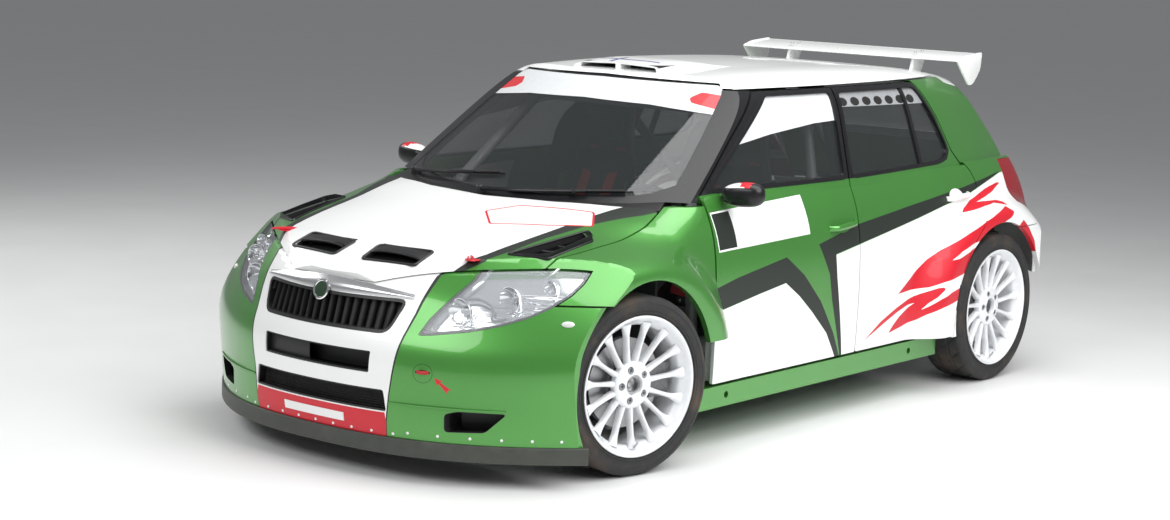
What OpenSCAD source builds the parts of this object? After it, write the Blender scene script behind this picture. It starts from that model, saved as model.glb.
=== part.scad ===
// Five-door supermini rally car for tarmac stages.
// Front faces -Y, left side is +X, ground is z = 0. Millimetres.

/* [Overall size] */
// Length over bumpers
body_l = 3994; // [3300:10:4800]
// Width over the wheel arch flares
body_w = 1820; // [1500:10:2200]
// Height of the roof skin above ground
roof_h = 1345; // [1120:5:1620]

/* [Wheels and tyres] */
// Tyre outside diameter
tyre_d = 638; // [530:2:770]
// Tyre section width
tyre_w = 205; // [170:1:246]
// Rim flange diameter
rim_d = 496; // [410:2:520]
// Number of rim spokes
spokes = 15; // [10:1:20]
// Radial opening between tyre and wheel arch lip
arch_gap = 52; // [42:1:70]
// Rest steering angle of the front wheels, negative to the right
steer_rest = -11.4; // [-30:0.1:30]

/* [Panels] */
// Door and tailgate thickness
door_t = 52; // [40:1:64]
// Skin thickness of wings, bonnet and bumpers
skin_t = 22; // [16:1:28]
// Half the shut gap between neighbouring panels
gap = 3.2; // [2.7:0.1:5]
// Window and windscreen glass thickness
glass_t = 5; // [3:0.5:8]

/* [Cabin] */
// Roll cage tube diameter
cage_d = 45; // [38:1:54]
// Distance from car centre to seat centre
seat_x = 340; // [300:5:360]
// Steering wheel outside diameter
helm_d = 350; // [300:5:400]

/* [Mounts] */
// Bore of the sill jack sockets
jack_bore = 26; // [22:1:31]

/* [Hidden] */
// Shape scale against the drawn size
sx = body_w / 1820;
sy = body_l / 3994;
sz = roof_h / 1345;
// Axle positions and wheel centres
front_y = -1243 * sy;
rear_y = 1243 * sy;
wheel_z = tyre_d / 2;
wheel_x = 885 * sx - tyre_w / 2 + 6;
king_x = wheel_x - 50;
arch_r = tyre_d / 2 + arch_gap;
seat_air = 0.3;
belt_z = 915;
eps = 0.01;

// Smooth step from 0 to 1 between a and b
function ramp(t, a, b) = let(u = min(1, max(0, (t - a) / (b - a)))) u * u * (3 - 2 * u);
function mix(a, b, t) = a + (b - a) * t;
function seg(t, p, i = 0) = i >= len(p) - 2 || t < p[i + 1][0] ? i : seg(t, p, i + 1);
function slope(p, i) = let(a = max(0, i - 1), b = min(len(p) - 1, i + 1)) (p[b][1] - p[a][1]) / (p[b][0] - p[a][0]);
// Smooth curve through station and value pairs
function curve(t, p) =
    let(i = seg(t, p), a = p[i], b = p[i + 1], h = b[0] - a[0], u = min(1, max(0, (t - a[0]) / h)))
    a[1] * (2 * u * u * u - 3 * u * u + 1) + slope(p, i) * h * (u * u * u - 2 * u * u + u)
    + b[1] * (3 * u * u - 2 * u * u * u) + slope(p, i + 1) * h * (u * u * u - u * u);

// Half width of the lower body without flares, along the car
width_line = [[-2000, 780], [-1600, 786], [-1400, 802], [-1100, 812], [-700, 815], [300, 818],
    [900, 815], [1300, 808], [1600, 785], [1800, 745], [2000, 700]];
// How far the flank falls inwards with height
flank_line = [[130, 18], [230, 4], [400, 0], [600, 2], [700, 8], [780, 22], [840, 42], [900, 70], [960, 105]];
// Bonnet and cowl height on the centre line
bonnet_line = [[-1990, 600], [-1930, 650], [-1900, 675], [-1830, 715], [-1730, 755], [-1664, 775],
    [-1450, 822], [-1240, 863], [-1050, 895], [-850, 915], [-700, 925]];
wing_base_line = [[-2000, 420], [-1664, 480], [-1240, 580], [-900, 620], [-700, 620]];
wing_power_line = [[-2000, 2.8], [-1664, 3], [-1240, 3.2], [-900, 4.4], [-700, 5]];
// Nose profile, its corner sweep and the power of that sweep, against height
nose_line = [[130, -1955], [200, -1970], [300, -1980], [400, -1991], [460, -1986], [520, -1966],
    [580, -1950], [625, -1936], [670, -1910], [720, -1870], [800, -1790]];
nose_sweep = [[130, 400], [500, 400], [690, 520], [800, 560]];
nose_power = [[150, 2.6], [500, 2], [620, 1.85], [800, 1.8]];
// Tail profile and its corner sweep, against height
tail_line = [[130, 1890], [220, 1955], [330, 1985], [450, 1991], [600, 1980], [700, 1942], [780, 1902],
    [900, 1830], [1000, 1752], [1150, 1606], [1290, 1462], [1345, 1396]];
tail_sweep = [[130, 292], [560, 300], [720, 268], [900, 250], [1290, 235], [1345, 235]];
// Waist half width and roof height along the car
waist_line = [[-1000, 690], [-850, 706], [-500, 730], [0, 742], [500, 742], [1000, 726], [1400, 690], [1700, 640]];
roof_line = [[-450, 1322], [-300, 1331], [0, 1341], [400, 1345], [900, 1336], [1200, 1318], [1450, 1290]];
tumble_line = [[-900, 0.36], [-300, 0.37], [200, 0.33], [900, 0.36], [1400, 0.42]];

function arch_zc() = wheel_z / sz;
// Strength of a wheel arch flare at a point of the flank
function flare_at(y, z, yc, ahead, behind) =
    let(dy = (y - yc) * (y < yc ? ahead : behind), dz = max(z - arch_zc(), (arch_zc() - z) * 0.6))
    1 - ramp(sqrt(dy * dy + dz * dz), 385, 540);
function flare(y, z) = y < -743 ? flare_at(y, z, -1243, 0.7, 0.85) : flare_at(y, z, 1243, 0.85, 0.75);
// Side skin of the lower body: half width at a place and height, drawn size
function side0(y, z) =
    let(w = curve(y, width_line), zb = curve(y, wing_base_line), zc = curve(y, bonnet_line),
        n = curve(y, wing_power_line), t = min(1, max(0, (z - zb) / (zc - zb))),
        flank = w - curve(z, flank_line), crown = min(flank + 12, w * pow(max(0, 1 - pow(t, n)), 1 / n)),
        b = ramp(y, -1000, -760), base = mix(crown, flank, b))
    base + max(0, 905 - base) * flare(y, z) * (1 - ramp(z, 720, 860));
function side_x(y, z) = sx * side0(y / sy, z / sz);
function nose0(x, z) = curve(z, nose_line) + curve(z, nose_sweep) * pow(min(1, abs(x) / 900), curve(z, nose_power));
function nose_y(x, z) = sy * nose0(x / sx, z / sz);
function tail0(x, z) = curve(z, tail_line) - curve(z, tail_sweep) * pow(abs(x) / 800, 2.4);
function tail_y(x, z) = sy * tail0(x / sx, z / sz);
function screen0(x, z) = -1100 + 1.545 * (z - 870) + 220 * pow(x / 660, 2);
function screen_y(x, z) = sy * screen0(x / sx, z / sz);
// Cabin side skin above the waist, closing over as the roof
function cabin0(y, z) =
    let(zr = curve(y, roof_line), t = min(1, max(0, (z - 960) / (zr - 960))))
    (curve(y, waist_line) - curve(y, tumble_line) * (z - belt_z)) * pow(max(0, 1 - pow(t, 7)), 1 / 7);
function cabin_x(y, z) = sx * cabin0(y / sy, z / sz);

// Two triangles of a grid cell, split along its shorter diagonal
function cell(p, q, k, straight) = straight
    ? [[k + p, k + p + 1, k + q + 1], [k + p, k + q + 1, k + q]]
    : [[k + p, k + p + 1, k + q], [k + p + 1, k + q + 1, k + q]];
// Solid filling the space between two grids of points
module between(a, b) {
    n = len(a);
    m = len(a[0]);
    k = n * m;
    faces = concat(
        [for (i = [0 : n - 2], j = [0 : m - 2]) each
            cell(i * m + j, (i + 1) * m + j, 0, norm(a[i][j] - a[i + 1][j + 1]) <= norm(a[i + 1][j] - a[i][j + 1]))],
        [for (i = [0 : n - 2], j = [0 : m - 2]) each
            [for (f = cell(i * m + j, (i + 1) * m + j, k,
                norm(a[i][j] - a[i + 1][j + 1]) <= norm(a[i + 1][j] - a[i][j + 1]))) [f[2], f[1], f[0]]]],
        [for (i = [0 : n - 2]) each
            [[i * m, (i + 1) * m, k + (i + 1) * m], [i * m, k + (i + 1) * m, k + i * m],
             [i * m + m - 1, k + i * m + m - 1, k + (i + 1) * m + m - 1],
             [i * m + m - 1, k + (i + 1) * m + m - 1, (i + 1) * m + m - 1]]],
        [for (j = [0 : m - 2], q = (n - 1) * m) each
            [[j + 1, j, k + j], [j + 1, k + j, k + j + 1],
             [q + j, q + j + 1, k + q + j + 1], [q + j, k + q + j + 1, k + q + j]]]);
    polyhedron(concat([for (r = a) each r], [for (r = b) each r]), faces);
}

// Keeps panel cuts exact on free-form skins
module skin() {
    resize([0, 0, 0])
        children();
}

module both() {
    children();
    mirror([1, 0, 0])
        children();
}

// Left flank skin between two stations, thickness t
module flank_shell(y0, y1, z0, z1, t, steps) {
    ys = [for (i = [0 : steps]) mix(y0, y1, i / steps)];
    zs = [for (j = [0 : 9]) mix(z0, z1, j / 9)];
    between([for (y = ys) [for (z = zs) [side_x(y, z), y, z]]], [for (y = ys) [for (z = zs) [side_x(y, z) - t, y, z]]]);
}

// Closed section of bonnet and front wing at one station, offset inwards by t
function nose_section(y, t) =
    let(zb = sz * curve(y / sy, wing_base_line), zc = sz * curve(y / sy, bonnet_line), n = curve(y / sy, wing_power_line),
        zs = concat([for (j = [0 : 6]) mix(130 * sz, zb, j / 6)],
            [for (j = [1 : 12]) mix(zb, zc, 1 - pow(1 - j / 13, 2))]),
        p = concat([for (z = zs) [side_x(y, z), z]], [[0, zc]]))
    [for (j = [0 : len(p) - 1])
        let(a = p[max(0, j - 1)], c = p[min(len(p) - 1, j + 1)], d = (c - a) / norm(c - a))
        j == len(p) - 1 ? [0, y, zc - t] : [max(0, p[j][0] - d[1] * t), y, p[j][1] + d[0] * t]];
module nose_shell(t) {
    ys = concat([for (i = [0 : 13]) mix(-1990, -1100, i / 13) * sy], [for (i = [1 : 12]) mix(-1100, -746, i / 12) * sy]);
    between([for (y = ys) nose_section(y, 0)], [for (y = ys) nose_section(y, t)]);
}
// Everything behind the nose surface moved back by t
module behind_nose(t) {
    xs = [for (i = [0 : 15]) mix(-20, 980, i / 15) * sx];
    zs = [for (j = [0 : 14]) mix(100, 940, j / 14) * sz];
    between([for (x = xs) [for (z = zs) [x, nose_y(x, z) + t, z]]], [for (x = xs) [for (z = zs) [x, -300, z]]]);
}
module inside_front(t) {
    ys = [for (i = [0 : 22]) mix(-2010 * sy, -700 * sy, i / 22)];
    between([for (y = ys) nose_section(y, t)], [for (y = ys) [for (p = nose_section(y, t)) [-1, y, p[2]]]]);
}
module nose_panel(t, z0, z1) {
    xs = [for (i = [0 : 12]) mix(0, 904, i / 12) * sx];
    steps = ceil((z1 - z0) / 75);
    zs = [for (j = [0 : steps]) mix(z0, z1, j / steps)];
    between([for (x = xs) [for (z = zs) [x, nose_y(x, z), z]]], [for (x = xs) [for (z = zs) [x, nose_y(x, z) + t, z]]]);
}
module tail_panel(t, z0, z1, x0, x1, steps) {
    xs = [for (i = [0 : steps]) mix(x0, x1, i / steps)];
    rows = ceil((z1 - z0) / 80);
    zs = [for (j = [0 : rows]) mix(z0, z1, j / rows)];
    between([for (z = zs) [for (x = xs) [x, tail_y(x, z), z]]], [for (z = zs) [for (x = xs) [x, tail_y(x, z) - t, z]]]);
}
// Everything ahead of the tail surface moved forward by t
module ahead_of_tail(t) {
    xs = [for (i = [0 : 12]) mix(-20, 960, i / 12) * sx];
    zs = [for (j = [0 : 14]) mix(60, 1420, j / 14) * sz];
    between([for (z = zs) [for (x = xs) [x, tail_y(x, z) - t, z]]], [for (z = zs) [for (x = xs) [x, -2100, z]]]);
}
// Everything behind the windscreen surface moved back by t
module behind_screen(t) {
    xs = [for (i = [0 : 8]) mix(-20, 820, i / 8) * sx];
    zs = [for (j = [0 : 4]) mix(800, 1400, j / 4) * sz];
    between([for (x = xs) [for (z = zs) [x, screen_y(x, z) + t, z]]], [for (x = xs) [for (z = zs) [x, 1950 * sy, z]]]);
}
function cabin_section(y, t) =
    let(zr = sz * curve(y / sy, roof_line),
        zs = concat([for (j = [0 : 3]) mix(880 * sz, 1150 * sz, j / 3)],
            [for (j = [1 : 8]) 960 * sz + (zr - 960 * sz) * pow(sin(mix(24, 87, j / 8)), 2 / 7)]),
        p = concat([for (z = zs) if (z < 1149 * sz || z > 1156 * sz) [cabin_x(y, z), z]], [[0, zr + 3]]))
    [for (j = [0 : len(p) - 1])
        let(a = p[max(0, j - 1)], c = p[min(len(p) - 1, j + 1)], d = (c - a) / norm(c - a))
        j == len(p) - 1 ? [0, y, zr + 3 - t] : [max(0, p[j][0] - d[1] * t), y, p[j][1] + d[0] * t]];

// Through cut along x of a side view outline, on the left half
module side_cut(points, grow = 0, x0 = 380) {
    multmatrix([[0, 0, 1, x0 * sx], [1, 0, 0, 0], [0, 1, 0, 0], [0, 0, 0, 1]])
        linear_extrude(height = 620 * sx)
            offset(delta = grow)
                polygon([for (p = points) [p[0] * sy, p[1] * sz]]);
}
// Through cut along y of a front view outline between two stations
module front_cut(points, y0, y1, grow = 0) {
    translate([0, y1 * sy, 0])
        rotate([90, 0, 0])
            linear_extrude(height = (y1 - y0) * sy)
                offset(delta = grow)
                    polygon([for (p = points) [p[0] * sx, p[1] * sz]]);
}
module plan_cut(points, z0, z1, grow = 0) {
    translate([0, 0, z0 * sz])
        linear_extrude(height = (z1 - z0) * sz)
            offset(delta = grow)
                polygon([for (p = points) [p[0] * sx, p[1] * sy]]);
}
module wheel_hole(yc, r) {
    translate([450 * sx, yc, wheel_z])
        rotate([0, 90, 0])
            cylinder(r = r, h = 600 * sx, $fn = 96);
}
module along_x(x0, x1, y, z, r, fn = 48) {
    translate([x0, y, z])
        rotate([0, 90, 0])
            cylinder(r = r, h = x1 - x0, $fn = fn);
}
// Box given by its two corners at drawn size
module block(a, b) {
    translate([a[0] * sx, a[1] * sy, a[2] * sz])
        cube([(b[0] - a[0]) * sx, (b[1] - a[1]) * sy, (b[2] - a[2]) * sz]);
}
module tube(a, b, d, fn = 12) {
    v = b - a;
    translate(a)
        rotate([0, acos(v[2] / norm(v)), atan2(v[1], v[0])])
            cylinder(d = d, h = norm(v), $fn = fn);
}

// Outlines of the moving panels, drawn size
hinge_split = [[-740, 238], [-740, 912]];
centre_split = [[228, 238], [236, 500], [232, 760], [241, 915], [295, 1284]];
front_door_line = concat(hinge_split, [[-737, 922], [-480, 1112], [-222, 1284]], [for (i = [4 : -1 : 0]) centre_split[i]]);
rear_door_line = concat(centre_split, [[975, 1281], [1072, 1130], [1128, 985], [1208, 900], [1222, 850],
    [1200, 790], [1090, 700], [985, 610], [900, 480], [868, 340], [858, 238]]);
front_window = [[-640, 945], [-600, 985], [-160, 1262], [262, 1262], [214, 942]];
rear_window = [[274, 942], [322, 1260], [955, 1258], [1042, 1120], [1090, 1000], [1060, 968], [980, 955]];
bonnet_side = [[440, -1852], [530, -1800], [610, -1700], [666, -1560], [700, -1400], [714, -1200], [706, -1040], [672, -912]];
bonnet_plan = concat([[-20, -1896], [200, -1886], [340, -1866]], bonnet_side,
    [[500, -1000], [300, -1072], [-20, -1112]]);
lamp_line = [[404, 506], [440, 508], [560, 528], [640, 550], [705, 578], [752, 612], [782, 652], [792, 690],
    [780, 820], [500, 820], [498, 690], [462, 625], [424, 560]];
grille_line = [[-340, 618], [-300, 500], [300, 500], [340, 618]];
slot_line = [[-252, 366], [252, 366], [256, 440], [-256, 440]];
intake_line = [[-318, 238], [318, 238], [306, 312], [-306, 312]];
duct_line = [[520, 190], [640, 196], [700, 262], [560, 262], [520, 250]];
tail_lamp_line = [[560, 700], [820, 690], [820, 935], [610, 925], [575, 820]];
tailgate_line = [[-20, 712], [556, 712], [566, 820], [592, 940], [560, 1040], [525, 1200], [500, 1420], [-20, 1420]];
rear_glass_line = [[-470, 1000], [470, 1000], [462, 1080], [428, 1236], [-428, 1236], [-462, 1080]];

module cabin_part(t0, t1, y0 = -1080, y1 = 1760, steps = 24) {
    ys = [for (i = [0 : steps]) mix(y0 * sy, y1 * sy, i / steps)];
    between([for (y = ys) cabin_section(y, t0)], [for (y = ys) cabin_section(y, t1)]);
}
// One side skin of the cabin or flank, cut to an outline
module door_skin(points, t0, t1, grow) {
    ys = [for (p = points) p[0] * sy];
    y0 = max(min(ys) - 2, -742.5 * sy);
    y1 = max(ys) + 2;
    steps = 11;
    gy = [for (i = [0 : steps]) mix(y0, y1, i / steps)];
    gz = [for (j = [0 : 9]) mix(232, 925, j / 9) * sz];
    intersection() {
        between([for (y = gy) [for (z = gz) [side_x(y, z) - t0, y, z]]],
            [for (y = gy) [for (z = gz) [side_x(y, z) - t1, y, z]]]);
        side_cut(points, grow);
    }
}
module door_frame(points, window, y0, y1) {
    intersection() {
        cabin_part(0, 22, y0, y1, 6);
        difference() {
            side_cut(points, -gap - 4);
            side_cut(window);
        }
        block([380, -1100, 900], [900, 1500, 1300]);
    }
}
module door(points, window, y0, y1, axis_y) {
    skin() {
        union() {
            door_skin(points, 0, 14, -gap);
            door_skin(points, 13, door_t, -gap - 12);
            door_frame(points, window, y0, y1);
        }
    }
}
module front_door() {
    color("#3f9a35")
        door(front_door_line, front_window, -800, 330);
    color("#202224")
        for (z = [330, 760])
            translate([side_x(-735 * sy, z * sz) - 20, -722 * sy, z * sz])
                cylinder(d = 18, h = 60, $fn = 24);
}
module rear_door() {
    color("#3f9a35")
        door(rear_door_line, rear_window, 200, 1260);
    color("#202224")
        for (z = [330, 760])
            translate([side_x(250 * sy, z * sz) - 20, 252 * sy, z * sz])
                cylinder(d = 18, h = 60, $fn = 24);
}
module side_glass(window, y0, y1) {
    color("#2b3338")
        skin()
            intersection() {
                cabin_part(9, 9 + glass_t, y0, y1, 4);
                side_cut(window, -seat_air);
            }
}
module door_front_left() {
    front_door();
}
module door_front_right() {
    mirror([1, 0, 0])
        front_door();
}
module door_rear_left() {
    rear_door();
}
module door_rear_right() {
    mirror([1, 0, 0])
        rear_door();
}
module glass_front_left() {
    side_glass(front_window, -700, 300);
}
module glass_front_right() {
    mirror([1, 0, 0])
        side_glass(front_window, -700, 300);
}
module glass_rear_left() {
    side_glass(rear_window, 240, 1120);
}
module glass_rear_right() {
    mirror([1, 0, 0])
        side_glass(rear_window, 240, 1120);
}
module mirror_left() {
    color("#17181a") {
        translate([824 * sx, -608 * sy, 935 * sz])
            rotate([0, 0, 10])
                scale([1, 0.55, 0.62])
                    sphere(d = 140 * sx, $fn = 40);
        tube([side_x(-622 * sy, 905 * sz) + 3.2, -622 * sy, 926 * sz], [790 * sx, -612 * sy, 930 * sz], 30, 24);
    }
}
module mirror_right() {
    mirror([1, 0, 0])
        mirror_left();
}
module bonnet() {
    color("#f2f2f0")
        skin()
            both()
                difference() {
                    intersection() {
                        nose_shell(skin_t);
                        behind_nose(2);
                        plan_cut(bonnet_plan, 400, 1000, -gap);
                    }
                    bonnet_openings();
                }
}
// Ducts near the front edge and large vents beside them
module bonnet_openings() {
    plan_cut([[82, -1786], [286, -1760], [292, -1716], [96, -1738]], 600, 900);
    plan_cut([[505, -1520], [600, -1478], [636, -1270], [575, -1225]], 600, 950);
}
module lamp_space(depth, grow) {
    intersection() {
        difference() {
            behind_nose(-2);
            behind_nose(depth);
        }
        front_cut(lamp_line, -2100, -1300, grow);
    }
}
module front_wings() {
    color("#3f9a35")
        skin()
            both()
                difference() {
                    union() {
                        intersection() {
                            nose_shell(skin_t);
                            behind_nose(2);
                        }
                        intersection() {
                            nose_panel(skin_t + 6, 600 * sz, 800 * sz);
                            inside_front(2);
                            block([520, -1800, 500], [1000, -1300, 900]);
                        }
                    }
                    plan_cut(concat([[-40, -2050], [200, -2050], [410, -1862]], bonnet_side,
                        [[664, -880], [664, -700], [-40, -700]]), 0, 1100, gap);
                    intersection() {
                        lamp_space(64, gap);
                        inside_front(skin_t - 1);
                    }
                    block([-30, -2100, 0], [1000, -1300, 624]);
                    block([600, -905, 894], [760, -700, 1000]);
                    wheel_hole(front_y, arch_r);
                    block([-30, -2100, 0], [660, -700, 600]);
                    block([500, -940, 0], [1000, -700, 430]);
                    block([500, -1100, 0], [1000, -700, 238]);
                }
}
module headlamps() {
    color("#e6e8ea")
        skin()
            both()
                intersection() {
                    nose_panel(56, 480 * sz, 800 * sz);
                    inside_front(skin_t + gap + 3);
                    front_cut(lamp_line, -2100, -1300, -0.3);
                }
}
module front_bumper() {
    color("#3f9a35")
        skin()
            both()
                difference() {
                    intersection() {
                        nose_panel(skin_t + 6, 150 * sz, 800 * sz);
                        inside_front(skin_t + 2 * gap);
                    }
                    front_cut(lamp_line, -2100, -1300, 0);
                    front_cut(grille_line, -2100, -1700);
                    front_cut(slot_line, -2100, -1700);
                    front_cut(intake_line, -2100, -1700);
                    front_cut(duct_line, -2100, -1500);
                    block([600, -1790, 618], [1000, -1300, 900]);
                    wheel_hole(front_y, tyre_d / 2 + arch_gap - 8);
                }
}
module grille() {
    color("#111214")
        skin()
            union() {
                both() {
                    intersection() {
                        translate([0, 10, 0])
                            nose_panel(20, 200 * sz, 640 * sz);
                        union() {
                            difference() {
                                front_cut(grille_line, -2100, -1700, -0.3);
                                front_cut(grille_line, -2200, -1600, -12);
                            }
                            front_cut([[-60, 366.3], [60, 366.3], [60, 439.7], [-60, 439.7]], -2100, -1700);
                            difference() {
                                front_cut(slot_line, -2100, -1700, -0.3);
                                front_cut(slot_line, -2200, -1600, -9);
                            }
                            difference() {
                                front_cut(intake_line, -2100, -1700, -0.3);
                                front_cut(intake_line, -2200, -1600, -10);
                            }
                        }
                    }
                    for (i = [0 : 8])
                        slat(i * 36, 502, 616);
                    for (i = [0 : 8])
                        slat(i * 36, 240, 310);
                }
            }
}
// One upright bar following the nose at distance x
module slat(x, z0, z1) {
    y = nose_y(x * sx, (z0 + z1) / 2 * sz) + 14;
    translate([(x - 5) * sx, y, z0 * sz])
        cube([10 * sx, 30, (z1 - z0) * sz]);
}
module splitter() {
    edge = [for (i = [0 : 24]) let(x = mix(-905, 905, i / 24) * sx) [x, nose_y(x, 150 * sz) - 9 * sy]];
    inner = [for (i = [24 : -1 : 0]) [edge[i][0] * 0.97, edge[i][1] + 18]];
    color("#23251f")
        skin()
            union() {
                translate([0, 0, 90 * sz])
                    linear_extrude(height = 59.6 * sz)
                        polygon(concat(edge, inner));
                translate([0, 0, 90 * sz])
                    linear_extrude(height = 12)
                        polygon(concat(edge, [[880 * sx, -1590 * sy], [600 * sx, -1575 * sy], [-600 * sx, -1575 * sy],
                            [-880 * sx, -1590 * sy]]));
            }
}
module rear_quarters() {
    color("#f2f2f0")
        skin()
            both()
                difference() {
                    union() {
                        intersection() {
                            flank_shell(850 * sy, 1990 * sy, 236 * sz, 935 * sz, skin_t, 14);
                            ahead_of_tail(0);
                        }
                        intersection() {
                            cabin_part(0, skin_t, 900, 1760, 8);
                            ahead_of_tail(0);
                            side_cut([[960, 925], [1800, 925], [1800, 1282], [960, 1282]]);
                        }
                    }
                    side_cut(rear_door_line, gap);
                    side_cut([[0, 0], [1000, 0], [1000, 1400], [0, 1400]]);
                    wheel_hole(rear_y, arch_r);
                    front_cut(tailgate_line, 1320, 2100, gap);
                    front_cut(tail_lamp_line, 1500, 2100, 0.3);
                    block([300, 1243, 0], [1000, 2100, 660]);
                }
}
module rear_bumper() {
    color("#f2f2f0")
        skin()
            difference() {
                both()
                    difference() {
                        intersection() {
                            union() {
                                tail_panel(skin_t + 6, 190 * sz, 706 * sz, -10 * sx, 860 * sx, 10);
                                flank_shell(1243 * sy, 1990 * sy, 250 * sz, 656 * sz, skin_t, 8);
                            }
                            ahead_of_tail(0);
                            side_solid();
                        }
                        wheel_hole(rear_y, arch_r);
                        block([640, 1000, 656], [1000, 2100, 760]);
                        front_cut([[-50, 0], [-50, 210], [420, 210], [640, 300], [760, 430], [1000, 440], [1000, 0]], 1000, 2100);
                    }
                translate([-180 * sx, 1800 * sy, 212 * sz])
                    rotate([-90, 0, 0])
                        cylinder(r = 56, h = 300, $fn = 32);
            }
}
// Everything inside the left flank, towards the rear
module side_solid() {
    ys = [for (i = [0 : 14]) mix(1200, 2010, i / 14) * sy];
    zs = [for (j = [0 : 10]) mix(150, 940, j / 10) * sz];
    between([for (y = ys) [for (z = zs) [side_x(y, z), y, z]]], [for (y = ys) [for (z = zs) [-1, y, z]]]);
}
module tail_lamps() {
    color("#b3151c")
        skin()
            both()
                intersection() {
                    tail_panel(70, 680 * sz, 940 * sz, 500 * sx, 860 * sx, 10);
                    side_solid();
                    difference() {
                        front_cut(tail_lamp_line, 1500, 2100, 0);
                        front_cut(tailgate_line, 1320, 2200, gap);
                    }
                    block([400, 1400, 706.5], [1000, 2100, 1000]);
                }
}
module cabin_solid(t) {
    ys = [for (i = [0 : 24]) mix(-1080, 1760, i / 24) * sy];
    between([for (y = ys) cabin_section(y, t)], [for (y = ys) [for (p = cabin_section(y, t)) [-1, y, p[2]]]]);
}
module roof() {
    color("#f4f4f2")
        skin()
            union() {
                both()
                    difference() {
                        intersection() {
                            cabin_part(0, skin_t, -500, 1500, 16);
                            behind_screen(0);
                            ahead_of_tail(0);
                            block([-20, -1000, 1290], [900, 1340, 1500]);
                        }
                        front_cut([[-20, 1000], [540, 1000], [540, 1291], [500, 1291], [480, 1308], [-20, 1318]], -500, -210);
                    }
                roof_scoop();
            }
}
module roof_scoop() {
    difference() {
        both()
            between([for (i = [0 : 6]) let(y = mix(-330, 120, i / 6), h = [34, 40, 40, 37, 30, 18, 4][i])
                    [for (j = [0 : 5]) let(x = mix(230, 0, j / 5), r = pow(1 - pow(x / 231, 6), 0.5))
                        [x * sx, y * sy, sz * (1323 + (y + 330) * 0.045 + h * r)]]],
                [for (i = [0 : 6]) let(y = mix(-330, 120, i / 6))
                    [for (j = [0 : 5]) [mix(230, 0, j / 5) * sx, y * sy, sz * 1316]]]);
        block([-190, -360, 1331], [-12, -150, 1352]);
        block([12, -360, 1331], [190, -150, 1352]);
    }
}
module windscreen() {
    xs = [for (i = [0 : 16]) mix(-700, 700, i / 16) * sx];
    zs = [for (j = [0 : 6]) mix(884, 1314, j / 6) * sz];
    color("#2b3338")
        skin()
            intersection() {
                between([for (x = xs) [for (z = zs) [x, screen_y(x, z) + 4, z]]],
                    [for (x = xs) [for (z = zs) [x, screen_y(x, z) + 4 + glass_t * 1.7, z]]]);
                front_cut(concat([for (p = screen_line) if (p[0] > 0) p], [for (i = [len(screen_line) - 1 : -1 : 0]) if (screen_line[i][0] > 0) [-screen_line[i][0], screen_line[i][1]]]),
                    -1300, 0, -seat_air);
            }
}
screen_line = [[-30, 880], [640, 884], [622, 980], [566, 1150], [514, 1280], [480, 1302], [-30, 1314]];
module pillars() {
    color("#17181a")
        skin()
            both() {
                difference() {
                    intersection() {
                        cabin_part(0, 95, -1000, 300, 8);
                        behind_screen(2);
                        block([300, -1000, 905], [900, 300, 1284]);
                    }
                    side_cut(front_door_line, gap);
                    side_cut([[100, 0], [400, 0], [400, 1500], [100, 1500]]);
                    front_cut(screen_line, -1300, -200, 0);
                }
                difference() {
                    union() {
                        intersection() {
                            cabin_part(30, 62, 150, 420, 4);
                            side_cut([[205, 900], [285, 900], [335, 1330], [255, 1330]]);
                            behind_screen(2);
                        }
                        block([690, 190, 231.4], [742, 300, 920]);
                    }
                    door_zone(180, 310);
                }
            }
}
// Space kept free behind the door skins
module door_zone(y0, y1) {
    gy = [for (i = [0 : 3]) mix(y0, y1, i / 3) * sy];
    gz = [for (j = [0 : 10]) mix(200, 925, j / 10) * sz];
    between([for (y = gy) [for (z = gz) [side_x(y, z) + 40, y, z]]],
        [for (y = gy) [for (z = gz) [side_x(y, z) - door_t - 6, y, z]]]);
}
module sills() {
    color("#3f9a35")
        both()
            difference() {
                translate([0, 868 * sy, 0])
                    rotate([90, 0, 0])
                        linear_extrude(height = 1736 * sy)
                            polygon([[650 * sx, 150 * sz], [815 * sx, 150 * sz], [815 * sx, 231 * sz], [650 * sx, 231 * sz]]);
                for (y = [-650, 650])
                    along_x(640 * sx, 840 * sx, y * sy, 192 * sz, jack_bore / 2);
            }
}
module floor_pan() {
    color("#3a3d40") {
        block([-649.7, -866, 165], [649.7, 880, 180]);
        block([-130, -866, 180], [130, 880, 300]);
        block([-649.7, 865, 180], [649.7, 880, 400]);
        block([-560, 865, 400], [560, 1780, 415]);
        for (s = [-1, 1]) {
            block([s * 560 - 6, 880, 180], [s * 560 + 6, 1080, 700]);
            block([s * 560 - 6, 1080, 400], [s * 560 + 6, 1640, 700]);
        }
        block([-560, 1780, 400], [560, 1792, 690]);
    }
}
module front_frame() {
    color("#2a2c2f") {
        block([-640, -880, 165], [640, -866.3, 872]);
        for (s = [-1, 1]) {
            block([s * 400 - 28, -1800, 380], [s * 400 + 28, -880, 460]);
            block([s * 404 - 24, -1330, 460], [s * 404 + 24, -1156, 760]);
            block([min(s * 400, s * 690), -1330, 745], [max(s * 400, s * 690), -1156, 760]);
        }
        block([-428, -1830, 400], [428, -1800, 480]);
        block([-330, -1790, 200], [330, -1740, 400]);
        block([-330, -1780, 400], [330, -1750, 620]);
    }
}
module engine_block() {
    color("#6d7073")
        block([-300, -1640, 300], [220, -1300, 700]);
}
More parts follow.
